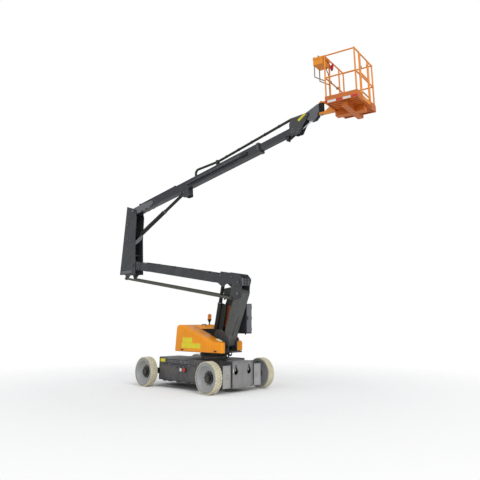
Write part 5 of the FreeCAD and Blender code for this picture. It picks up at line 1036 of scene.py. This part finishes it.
labels = Shape("hood_plates", "hood_near", "yellow pale", 0.3)
labels.blocks((-415, -75, -621.6, -620.2, 1004, 1118), (-440, 205, -621.6, -620.2, 886, 996))
labels.use(1)
labels.at = Matrix.Translation((470, -290, 1068)) @ Matrix.Rotation(math.atan2(360, 1030), 4, "Y")
labels.block(-75, 75, -47.5, 47.5, -1.5, 1.5)
labels.done()
plates = Shape("hood_plates_far", "hood_far", "yellow", 0.3)
plates.block(-415, -75, 620.2, 621.6, 1004, 1118)
plates.done()
filler = Shape("filler_cap", "hood_far", "black red hood", 1.5)
filler.turned((FILLER_X, FILLER_Y, 1036), UP, [(30, 0), (66, 0), (70, 10), (78, 34), (78, 44), (66, 48),
    (60, 24), (30, 24)], 40)
filler.use(1).turned((FILLER_X, FILLER_Y, 1036), UP, [(1, 20), (50, 20), (54, 70), (46, 86), (1, 90)], 32,
    closed=False)
for k in range(10):
    a = math.pi * k / 5
    rib = [(FILLER_X + r * math.cos(a), FILLER_Y + r * math.sin(a), z) for r, z in ((52, 1060), (50, 1118))]
    filler.drum(*rib, 6, sides=8)
filler.done()

lamp = Shape("beacon_lamp", "hood_far", "plastic amber seal")
lamp.turned(BEACON_FOOT, UP, [(6, 0), (24, 0), (24, 8), (15, 14), (17, 50), (49, 112), (52, 122), (6, 122)],
    40)
lens = [(8, 120), (46, 120), (47, 128)]
for k in range(7):
    lens += [(47.5, 132 + k * 13), (45.5, 138 + k * 13)]
lens += [(47, 226), (43, 240), (28, 251), (8, 256)]
lamp.use(1).turned(BEACON_FOOT, UP, lens, sides=40)
lamp.use(2).turned(BEACON_FOOT, UP, [(42, 118), (52, 118), (52, 127), (42, 127)], 40)
lamp.done("beacon", slot="beacon")


def pin_cap(shape, x, z, y, radius=44):
    """A round cover with a keeper and bolts over a pin's end."""
    s = 1 if y > 0 else -1
    shape.use(0).turned((x, y, z), (0, s, 0), [(6, 0), (radius, 0), (radius, 5), (radius - 5, 10), (6, 10)],
        32)
    shape.block(x - radius * 0.35, x + radius * 0.35, y + s * 9, y + s * 14, z - radius * 0.9,
        z - radius * 0.3)
    shape.use(1).bolt((x, y + s * 9, z), (0, s, 0), radius * 0.26, 9)
    for k in (-1, 1):
        shape.bolt((x + k * radius * 0.2, y + s * 13, z - radius * 0.6), (0, s, 0), radius * 0.14, 6)


def weld(shape, points, radius=4.5):
    """A rippled bead along a seam."""
    line = [Vector(p) for p in points]
    out = []
    for a, b in zip(line, line[1:]):
        count = max(2, int((b - a).length / 26))
        out += [a.lerp(b, k / count) for k in range(count)]
    shape.tube(out + [line[-1]], radius, 6)


def arms_details():
    """Trim, welds, pin covers and hoses of both arms, the knee and their links."""
    # The trim's first paint is the lower arm's lighter copy, which holds painted light
    lower = Shape("lower_arm_trim", "lower_arm", "arm_green zinc arm", 1.2, LOWER)
    lower.block(1246, 1258, -117, 117, -122, 122)
    for y in (-1, 1):
        weld(lower, [(70, y * ARM_SEAM_Y, -87), (1150, y * ARM_SEAM_Y, -113)])
        weld(lower, [(300, y * ARM_SEAM_Y, 92), (930, y * ARM_SEAM_Y, 109)])
        pin_cap(lower, 1164, 0, y * PIN_Y)
        pin_cap(lower, 0, 0, y * PIN_Y)
        lower.use(0)
    lower.block(210, 640, -32, 32, -112, -100)
    lower.use(1).bolts((235, 420, 615), 0, -112, DOWN, 8, 6)
    lower.done()
    lines = Shape("lower_arm_lines", "lower_arm", "hose zinc", at=LOWER)
    for d in (-40, -12, 16, 44):
        lines.use(0).hose([(282, 119, d), (300, 131, d), (420, 132, d), (760, 132, d + 6),
            (880, 131, d + 8), (902, 119, d + 8)], 4, 9, 8)
    lines.use(1)
    for s in (340, 580, 830):
        lines.block(s - 11, s + 11, 120, 144, -56, 66)
        lines.bolt((s, 144, 2), FAR, 7, 5)
    lines.done()

    # A thin bolted sheet on the lower link's near face that carries the orange-brown painted reflection
    reflection_sheet = Shape("link_reflection_sheet", "lower_link", "rust zinc", 1, TIE)
    reflection_sheet.sheet([(120, -38), (560, -38), (640, 60), (610, 170), (540, 205), (300, 205), (180, 120),
        (120, 60)], 16.8, 19.6)
    reflection_sheet.use(1)
    for s, d in ((150, -20), (150, 50), (545, -18), (600, 80), (560, 180), (320, 185)):
        reflection_sheet.bolt((s, 16.8, d), NEAR, 7, 3)
    reflection_sheet.done()

    knee = Shape("knee_trim", "knee", "arm zinc steel", 1.5)
    for y in (-1, 1):
        pin_cap(knee, *TIE_TOP, y * PLATE_Y, 40)
        pin_cap(knee, *KNEE, y * 174, 42)
        pin_cap(knee, *LINK_FRONT, y * LINK_PIN_Y, 26)
    knee.use(0).block(1007, 1014, -118, 118, 2262, 2418)
    knee.use(2)
    for y in (-104, 104):
        knee.drum((1021, y, 2262), (1021, y, 2420), 9, sides=14)
    knee.use(1).bolts(1014, 0, (2285, 2340, 2395), AHEAD, 11, 8)
    knee.done()

    bundle = Shape("knee_hoses", "knee", "hose black")
    for k in range(12):
        bundle.use(0).hose([(742 - k * 5, -110, 2122 + k * 8), (640, -110, 2036 + k * 17),
            (530, -110, 1992 + k * 20), (428, -110, 1958 + k * 22)], 4, 11.5, 8)
    bundle.use(1).block(560, 574, -123, -119, 1996, 2224)
    bundle.done()
    feed = Shape("riser_hoses", "riser_barrel", "hose black", at=RISER)
    for k in range(6):
        feed.use(0).hose([(120, 20, -62 - k * 4), (220, 22, -64 - k * 22), (500, 22, -64 - k * 25),
            (800, 22, -64 - k * 25), (925, 22, -62 - k * 22)], 4, 13, 8)
    feed.use(1)
    for s in (330, 620, 860):
        feed.block(s, s + 18, 5, 10, -204, -44)
    feed.done()

    upper = Shape("upper_arm_trim", "upper_arm", "arm zinc cast", 1.2)
    for y in (-1, 1):
        for x, z, r in ((361, 2517, 30), (717, 2465, 30), (560, 2372, 18), (466, 2352, 13)):
            upper.use(0).turned((x, y * 160, z), (0, y, 0), [(4, 0), (r, 0), (r, 5), (r - 4, 9), (4, 9)],
                28)
            upper.use(1).bolt((x, y * 168, z), (0, y, 0), r * 0.38, 7)
    upper.at = UPPER
    for y in (-1, 1):
        pin_cap(upper, -UPPER_LENGTH, 0, y * PIN_Y)
        upper.use(0)
        weld(upper, [(-3850, y * ARM_SEAM_Y, -104), (-840, y * ARM_SEAM_Y, -104)], 4)
        weld(upper, [(-3850, y * ARM_SEAM_Y, 104), (-760, y * ARM_SEAM_Y, 104)], 4)
        weld(upper, [(-4275, y * 128, 115), (-3960, y * 128, 115), (-3960, y * 128, -115),
            (-4275, y * 128, -115)], 4)
        upper.use(1).bolts((-4000, -4110, -4220), y * 128, (-80, 80), (0, y, 0), 11, 8)
    upper.use(2)
    for s in (-1200, -1900, -2600, -3300):
        upper.block(s - 16, s + 16, -62, 62, 104, 111)
    upper.done()
    pipes = Shape("upper_arm_lines", "upper_arm", "hose zinc", at=UPPER)
    for y in (-45, -22, 0, 22, 45):
        pipes.use(0).hose([(-870, y, 98), (-900, y, 116), (-1000, y, 121), (-2300, y, 121), (-3650, y, 121),
            (-3740, y, 116), (-3770, y, 98)], 3, 9.5, 8)
    pipes.use(1)
    for s in (-1200, -1900, -2600, -3300):
        pipes.block(s - 13, s + 13, -60, 60, 110, 134)
        pipes.bolts(s, (-52, 52), 134, UP, 7, 5)
    pipes.done()

    links = Shape("upper_link_trim", "upper_link", "link zinc", 1, LINKS)
    for y in (-1, 1):
        for s in (0, -UPPER_LENGTH):
            links.use(0).turned((s, y * 176, 0), (0, y, 0), [(24, 0), (35, 0), (35, 4), (31, 7), (24, 7)],
                28)
        weld(links, [(-80, y * 175, 29), (-4210, y * 175, 29)], 3)
        links.use(0).blocks((-420, -140, y * 176, y * 180, -20, 20),
            (-4150, -3900, y * 176, y * 180, -20, 20))
        links.use(1).bolts((-390, -170, -4125, -3925), y * 180, 0, (0, y, 0), 8, 6)
    links.done()


arms_details()


def upright_details():
    """Doublers, pin covers, ribs and pipes of the upright."""
    side = Shape("upright_trim", "upright", "arm zinc cast black", 1.5)
    for y in (-1, 1):
        pin_cap(side, *LIFT_FOOT, y * PLATE_Y, 46)
        pin_cap(side, -3448, 3296, y * PLATE_Y, 34)
        pin_cap(side, *LINK_REAR, y * LINK_PIN_Y, 26)
        side.use(0).sheet([(-3745, 4130), (-3640, 4150), (-3650, 4280), (-3735, 4270)], y * PLATE_Y,
            y * 150)
        side.sheet([(-3800, 2900), (-3700, 2900), (-3690, 3060), (-3790, 3050)], y * PLATE_Y, y * 148)
        side.use(1)
        for x, z in ((-3668, 4205), (-3715, 4205), (-3750, 2930), (-3745, 3030), (-3600, 4440),
                (-3680, 4640), (-3505, 2995), (-3620, 3500), (-3640, 3800)):
            side.bolt((x, y * 146, z), (0, y, 0), 12, 12)
        side.use(2).block(-3850, -3350, y * PLATE_Y, y * 148, 2790, 2860)
        side.use(0)
        weld(side, [(-3896, y * 124, 2780), (-3772, y * 124, 4720)], 5)
    side.use(3)
    for z in (2900, 3250, 3600, 3950, 4300):
        x = -3880 + (z - 2770) * 0.064
        side.block(x - 6, x + 26, -120, 120, z, z + 10)
    side.done()
    pipes = Shape("upright_lines", "upright", "cast zinc hose")
    for i, y in enumerate((-96, -78)):
        pipes.use(0).tube([(-3690 + i * 4, y, 3250), (-3650 + i * 4, y, 3900), (-3560, y, 4280),
            (-3545, y, 4420)], 9, 10)
    pipes.use(2)
    for y in (60, 78, 96):
        pipes.hose([(-3760, y, 2900), (-3730, y, 3300), (-3700, y, 3900), (-3640, y, 4300),
            (-3600, y, 4500)], 5, 10, 8)
    pipes.use(1)
    for z in (3350, 3800):
        pipes.blocks((-3705 + (z - 3350) * 0.06, -3672 + (z - 3350) * 0.06, -108, -66, z, z + 24),
            (-3745 + (z - 3350) * 0.06, -3700 + (z - 3350) * 0.06, 48, 108, z, z + 24))
    pipes.done()


upright_details()


def boom_details():
    """Root plates, chain, side tray, pipes, collar and the rings of three cylinders."""
    root = Shape("boom_root", "boom", "cast zinc", 2.5, BOOM)
    outline = [(-58, -108), (60, -112), (300, -112), (330, -80), (400, -80), (430, -112), (520, -112),
        (545, -78), (625, -78), (650, -112), (740, -112), (765, -80), (850, -76), (900, -20), (860, 60),
        (420, 96), (60, 108), (-58, 96)]
    for y in (-1, 1):
        root.use(0).sheet(outline, y * 85, y * 99)
        root.use(1)
        for s, d in ((120, -70), (250, 60), (470, -20), (590, 50), (700, -30), (820, -20)):
            root.bolt((s, y * 99, d), (0, y, 0), 12, 10)
        root.use(0)
        pin_cap(root, 0, 0, y * PIN_Y, 46)
    root.done()

    chain = Shape("boom_chain", "boom", "sleeve plastic white", at=BOOM)
    for i in range(22):
        s = 290 + i * 72
        for y in (-70, -10):
            chain.use(1).sheet([(s, 112), (s + 64, 112), (s + 70, 126), (s + 64, 146), (s, 146),
                (s - 6, 130)], y, y + 6)
        chain.use(0).block(s + 8, s + 56, -66, -8, 114, 142)
    chain.use(2)
    for s in (1176, 640, 1640):
        chain.block(s, s + 26, -72, -2, 146, 149)
    chain.use(1).blocks((230, 300, -84, 4, 108, 152), (1860, 1896, -84, 4, 108, 150))
    chain.done()

    tray = Shape("side_tray", "boom", "boom plastic cast zinc", 1.5, BOOM)
    tray.blocks((2400, 4480, -108, -85, -20, 14), (2400, 4480, -112, -106, -26, 30))
    tray.use(1)
    for i in range(15):
        s = 2520 + i * 122
        tray.sheet([(s, -84), (s + 78, -84), (s + 92, -50), (s + 14, -50)], -89, -85.2)
    tray.block(4492, 4680, -122, -85, -40, 34)
    tray.use(2).block(2400, 4460, -114, -110, 22, 32)
    tray.use(3).bolts(range(2450, 4480, 240), -112, 2, NEAR, 9, 7)
    tray.done()

    pipes = Shape("boom_lines", "boom", "hose zinc steel", at=BOOM)
    for i, d in enumerate((-30, -6, 18, 42)):
        pipes.use(0 if i % 2 else 2).hose([(930, 84, d), (960, 97, d), (1100, 99, d), (3000, 99, d),
            (4700, 99, d), (4790, 97, d), (4830, 84, d)], 3, 8.5, 8)
    pipes.use(1)
    for s in range(1150, 4800, 600):
        pipes.block(s - 12, s + 12, 85, 112, -46, 58)
        pipes.bolt((s, 112, 6), FAR, 8, 5)
    pipes.done()

    collar = Shape("collar_trim", "boom", "boom zinc seal", 1, BOOM)
    for y in (-1, 1):
        collar.use(0).block(5004, 5074, y * 97, y * 103, -72, 72)
        collar.use(1).bolts((5020, 5058), y * 103, (-52, 0, 52), (0, y, 0), 9, 7)
        collar.use(0)
        weld(collar, [(-40, y * BOOM_SIDE_Y, 109), (4990, y * BOOM_SIDE_Y, 109)], 3.5)
        weld(collar, [(940, y * BOOM_SIDE_Y, -109), (2060, y * BOOM_SIDE_Y, -109)], 3.5)
        weld(collar, [(2460, y * BOOM_SIDE_Y, -109), (4990, y * BOOM_SIDE_Y, -109)], 3.5)
        pin_cap(collar, 2140, -165, y * 96, 38)
        collar.use(1)
        for s, d in ((2240, -170), (2380, -190), (2400, -280), (2300, -300)):
            collar.bolt((s, y * 82, d), (0, y, 0), 11, 9)
    for d in (-122, 122):
        collar.use(1).bolts(5040, (-50, 50), d, (0, 0, 1 if d > 0 else -1), 9, 7)
    collar.done()

    ram = Shape("boom_cylinder_trim", "boom_cyl_barrel", "steel black cast hose brass", 1, LIFT)
    ram.turned((1556, 0, 0), AHEAD, [(46, 0), (57, 0), (59, 4), (59, 12), (55, 17), (46, 17)], 40)
    ram.use(1)
    for s in (230, 1500):
        ram.turned((s, 0, 0), AHEAD, [(51, 0), (56, 2), (56, 22), (51, 24)], 40)
    ram.blocks((300, 380, -26, 26, 46, 66), (1420, 1490, -26, 26, 46, 66))
    ram.use(3).hose([(345, 0, 66), (360, 0, 82), (430, 0, 84), (1380, 0, 74), (1440, 0, 78), (1455, 0, 66)],
        4, 8, 8)
    ram.use(4).drum((340, 0, 64), (342, 0, 74), 11, sides=6)
    ram.drum((1455, 0, 64), (1455, 0, 74), 11, sides=6)
    ram.done()
    leaf = Shape("hose_guide", "upright", "cast zinc", 3)
    leaf.sheet([(-3480, 3560), (-3400, 3620), (-3258, 3693), (-3080, 3786), (-2960, 3834), (-2938, 3760),
        (-2975, 3710), (-3097, 3640), (-3260, 3580), (-3420, 3530)], -128, -110)
    leaf.use(1)
    for x, z in ((-3400, 3590), (-3290, 3640), (-3010, 3770)):
        leaf.bolt((x, -128, z), NEAR, 9, 7)
    leaf.done()
    for name, body, at, ring in (("riser_cylinder_trim", "riser_barrel", RISER, 915),
            ("level_cylinder_trim", "level_barrel", LEVEL, 455)):
        big = ring > 600
        r = 60 if big else 29
        part = Shape(name, body, "black steel hose brass", 0.6, at)
        part.use(1).turned((ring, 0, 0), AHEAD, [(r - 12, 0), (r + 0.5, 0), (r + 1, 3), (r + 1, 9),
            (r - 2, 12), (r - 12, 12)], 36)
        part.use(0).turned((130 if big else 60, 0, 0), AHEAD,
            [(r - 4, 0), (r + 1, 2), (r + 1, 14), (r - 4, 16)], 36)
        if big:
            part.block(190, 250, -20, 20, 44, 62)
            part.use(3).drum((220, 0, 60), (220, 0, 72), 10, sides=6)
            part.use(2).hose([(220, 0, 70), (230, 0, 80), (300, 0, 78), (820, 0, 64), (870, 0, 62),
                (885, 0, 50)], 4, 7, 8)
        part.done()


boom_details()


def head_details():
    """Trim and hoses of the boom's head and of the rotator."""
    head = Shape("head_trim", "fly", "arm zinc yellow black", 1.2, BOOM)
    for y in (-1, 1):
        pin_cap(head, 6573, 164, y * 88, 34)
        head.use(0).sheet([(6040, -60), (6110, -96), (6180, -96), (6150, 40), (6060, 60)], y * 78, y * 84)
        head.use(1)
        for s, d in ((6080, -40), (6130, 20), (6160, -70), (6240, -110), (6300, -60), (6150, 200),
                (6250, 240)):
            head.bolt((s, y * 82, d), (0, y, 0), 10, 8)
        head.use(2).sheet([(6330, 118), (6552, 206), (6520, 250), (6296, 176)], y * 78.2, y * 79.6)
        head.use(3)
        weld(head, [(6046, y * 80, -86), (6046, y * 80, 84)], 4)
    head.use(0).blocks((6296, 6308, -62, 62, -110, -20), (6120, 6132, -62, 62, -118, -84))
    head.done()
    ends = Shape("head_hoses", "fly", "hose brass", at=BOOM)
    for y in (-48, -30, 30, 48):
        ends.use(0).hose([(6128, y * 0.4, 172), (6150, y, 140), (6210, y, 60), (6280, y, -40),
            (6330, y, -92), (6300, y, -138), (6230, y, -128), (6196, y, -92)], 6, 8, 8)
    ends.use(1)
    for y in (-48, -30, 30, 48):
        ends.drum((6196, y, -92), (6188, y, -78), 11, sides=6)
    ends.done()
    clips = Shape("hose_clips", "fly", "black zinc", 1, BOOM)
    for s in (3900, 4350, 4800, 5250, 5700):
        d = 228 + (s - 3567) * (310 - 228) / (6130 - 3567)
        clips.use(0).turned((s - 14, 0, d), (1, 0, 0.045), [(31.6, 0), (36, 0), (36, 28), (31.6, 28)], 24)
        clips.block(s - 12, s + 12, -6, 6, d + 32, d + 46)
        clips.use(1).bolt((s, -6, d + 40), NEAR, 6, 5)
    clips.done()

    turn = Shape("rotator_trim", "platform_fork", "black zinc steel cast", 1)
    for k in range(14):
        a = math.radians(-112 + k * 224 / 13)
        spin = Matrix.Translation((TURN_X, 0, 0)) @ Matrix.Rotation(a, 4, "Z")
        turn.at = spin
        turn.use(0).block(57, 68, -5, 5, 5892, 6078)
    turn.at = Matrix.Identity(4)
    for z in (5882, 6074):
        turn.turned((TURN_X, 0, z), UP, [(52, 0), (63, 0), (63, 12), (52, 12)], 40)
    turn.use(2).turned((TURN_X, 0, 5818), UP, [(8, 0), (36, 0), (36, 19), (8, 19)], 6)
    turn.turned((TURN_X, 0, 6117), UP, [(8, 0), (36, 0), (36, 14), (8, 14)], 6)
    turn.use(1)
    for y in (-1, 1):
        for x, z in ((3010, 5965), (3080, 5840), (3160, 5930), (3220, 6040), (3120, 6020)):
            turn.bolt((x, y * 56, z), (0, y, 0), 9, 6)
    turn.use(3).block(3206, 3212, -40, 40, 5925, 6040)
    turn.done()
    stubs = Shape("rotator_hoses", "platform_fork", "hose brass")
    for y in (-26, -9, 9, 26):
        stubs.use(0).hose([(3268, y, 5960), (3240, y, 5950), (3150, y, 5860), (3110, y, 5820),
            (3100, y, 5790)], 5, 7, 8)
        stubs.use(1).drum((3278, y, 5963), (3262, y, 5959), 9, sides=6)
    stubs.done()


head_details()


def platform_details():
    """Edge tape, floor slats, post feet, controls, pedal, latch and mount trim."""
    x0, x1, y0, y1, z0 = 355, 1075, -580, 460, 5810
    tape = Shape("edge_tape", "platform", "white tape_red", at=CAGE_AT)
    for start, stop, coat in ((0.0, 0.08, 1), (0.08, 0.34, 0), (0.34, 0.55, 1), (0.55, 0.79, 0),
            (0.79, 1.0, 1)):
        tape.use(coat).block(x0 + start * 720, x0 + stop * 720, y0 - 1.2, y0, z0 + 6, z0 + 56)
        tape.block(x0 + start * 720, x0 + stop * 720, y1, y1 + 1.2, z0 + 6, z0 + 56)
    tape.done()
    # The slats take the floor paint, whose darker orange is painted shade
    slats = Shape("floor_slats", "platform", "floor", 1.5, CAGE_AT)
    for i in range(11):
        y = -548 + i * 92
        if abs(y + 17) > 92:
            slats.sheet([(x0 + 6, 5844), (x1 - 6, 5844), (x1 - 12, 5826), (x0 + 12, 5826)], y, y + 40)
    slats.blocks((x0 + 4, x1 - 4, y0 + 4, y0 + 30, z0, z0 + 6),
        (x0 + 4, x1 - 4, y1 - 30, y1 - 4, z0, z0 + 6), (x1 - 30, x1 - 4, y0 + 4, y1 - 4, z0, z0 + 6),
        (x0 + 4, x0 + 30, y0 + 4, y1 - 4, z0, z0 + 6))
    for s in (-1, 1):
        slats.sheet([(420, 5808), (640, 5808), (640, 5716), (600, 5706)], s * 75, s * 80)
    slats.done()
    toe = Shape("toe_screws", "platform", "zinc cage", at=CAGE_AT)
    for x in (430, 600, 780, 950):
        toe.bolt((x, y0, z0 + 112), NEAR, 8, 4)
        toe.bolt((x, y1, z0 + 112), FAR, 8, 4)
    toe.bolts(x0, (-450, -250, 0, 250, 380), z0 + 120, BACK, 8, 4)
    toe.done()
    a, b, c, d = x0 + 22, x1 - 22, y0 + 22, y1 - 22
    feet = Shape("post_feet", "platform", "cage zinc", 1, CAGE_AT)
    posts = [(a, c), (b, c), (b, d), (a, d), (b, -307), (b, 207), (a, c + 230), (a, d - 250)]
    for x, y in posts:
        feet.use(0).turned((x, y, 5850), UP, [(16, 0), (21, 0), (21, 8), (18, 22), (16, 22)], 20)
        for z in (6400, RAIL_TOP):
            feet.turned((x, y, z - 20), UP, [(16.5, 0), (19.4, 4), (19.4, 36), (16.5, 40)], 20)
    for x, y, sx, sy in ((a, c, 1, 1), (b, c, -1, 1), (b, d, -1, -1), (a, d, 1, -1)):
        feet.block(x, x + sx * 60, y + sy * -2, y + sy * 2, 5850, 5905)
    feet.use(1)
    for y in (-300, 60):
        feet.turned((a, y, 6400), FAR, [(17, -4), (34, -4), (34, 4), (17, 4)], 24)
    feet.done()

    box = Shape("console_trim", "platform", "plastic red green smoke white zinc hood", 1.2, CAGE_AT)
    cx0, cx1, cy0, cy1, cz = x0 - 240, x0 - 15, y0 + 10, y0 + 320, RAIL_TOP + 17
    box.use(3).block(cx0 + 14, cx1 - 12, cy0 + 16, cy1 - 16, cz - 2, cz + 3)
    box.use(0)
    for y in (cy0 + 80, cy0 + 250):
        box.turned((cx0 + 90, y, cz + 2), UP, [(3, 0), (27, 0), (22, 10), (14, 20), (3, 20)], 24)
        box.drum((cx0 + 90, y, cz + 16), (cx0 + 90, y, cz + 52), 7, sides=14)
        box.ball((cx0 + 90, y, cz + 58), 16, 1.2)
    for i in range(5):
        y = cy0 + 60 + i * 54
        box.use((2, 4, 4, 0, 3)[i]).drum((cx1 - 60, y, cz + 2), (cx1 - 60, y, cz + 12), 9, sides=18)
        box.use(0).drum((cx1 - 60, y, cz + 2), (cx1 - 60, y, cz + 6), 13, sides=18)
    box.use(1).turned((cx0 + 40, cy0 + 165, cz + 2), UP, [(1, 20), (22, 19), (26, 13), (22, 6), (12, 5),
        (12, 0), (1, 0)], 28)
    box.use(5).bolts(cx0, (cy0 + 30, cy1 - 30), (cz - 145, cz - 75), BACK, 7, 5)
    box.use(6).sheet([(cx0 - 6, cz - 12), (cx0 + 30, cz + 26), (cx0 + 34, cz + 22), (cx0, cz - 14)],
        cy0 - 6, cy1 + 6)
    box.done()
    cup = Shape("red_handle", "platform", "red zinc", 2, CAGE_AT)
    cup.sheet([(a + 22, 6740), (a + 112, 6800), (a + 92, 6660), (a + 54, 6630)], c + 196, c + 232)
    cup.hose([(a + 36, c + 214, 6755), (a + 20, c + 214, 6800), (a + 4, c + 222, 6830), (a, c + 230, 6852)],
        5, 7, 10)
    cup.use(1).turned((a, c + 230, 6846), UP, [(17.3, 0), (22, 0), (22, 18), (17.3, 18)], 24)
    cup.done()
    lead = Shape("console_lead", "platform", "hose zinc", at=CAGE_AT)
    lead.hose([(cx1 - 40, cy1 - 60, cz - 168), (cx1 - 30, cy1 - 60, cz - 240), (a - 26, c + 240, 6560),
        (a - 24, c + 244, 6300), (a - 24, c + 244, 6000), (a - 30, c + 250, 5900), (330, -200, 5880)], 6, 9,
        8)
    lead.use(1)
    for z in (6500, 6250, 6020):
        lead.block(a - 34, a + 2, c + 232, c + 256, z, z + 16)
    lead.done()
    pedal = Shape("foot_pedal", "platform", "plastic grip hood", 2, CAGE_AT)
    pedal.use(2).sheet([(430, 5852), (560, 5852), (560, 5862), (548, 5905), (530, 5912), (430, 5890)], -330,
        -324)
    pedal.sheet([(430, 5852), (560, 5852), (560, 5862), (548, 5905), (530, 5912), (430, 5890)], -206, -200)
    pedal.use(0).block(430, 560, -326, -204, 5851, 5858)
    pedal.use(1).sheet([(440, 5862), (545, 5868), (545, 5876), (440, 5872)], -318, -212)
    pedal.done()
    latch = Shape("gate_latch", "gate", "plastic zinc cage", 1.5, CAGE_AT)
    latch.block(b - 26, b + 18, -266, -226, 6560, 6620)
    latch.use(1).drum((b - 8, -290, 6590), (b - 8, -262, 6590), 7, sides=12)
    latch.block(b - 40, b - 26, -254, -238, 6570, 6610)
    latch.use(2).block(b - 5, b + 5, -262, 150, 6440, 6456)
    latch.use(1).bolts(b + 4, (-200, 0, 140), 5905, AHEAD, 7, 3)
    latch.done()
    mount = Shape("mount_trim", "platform", "cage zinc", 1.5, CAGE_AT)
    for s in (-1, 1):
        mount.use(0).sheet([(70, 5874), (341, 5874), (341, 6040), (320, 6040), (120, 5890)], s * 52, s * 58)
        mount.sheet([(60, 6096), (341, 6096), (341, 6030), (330, 6030)], s * 52, s * 58)
        mount.use(1).bolts(341, s * 150, (5900, 5980, 6060), BACK, 11, 9)
    mount.done()


platform_details()
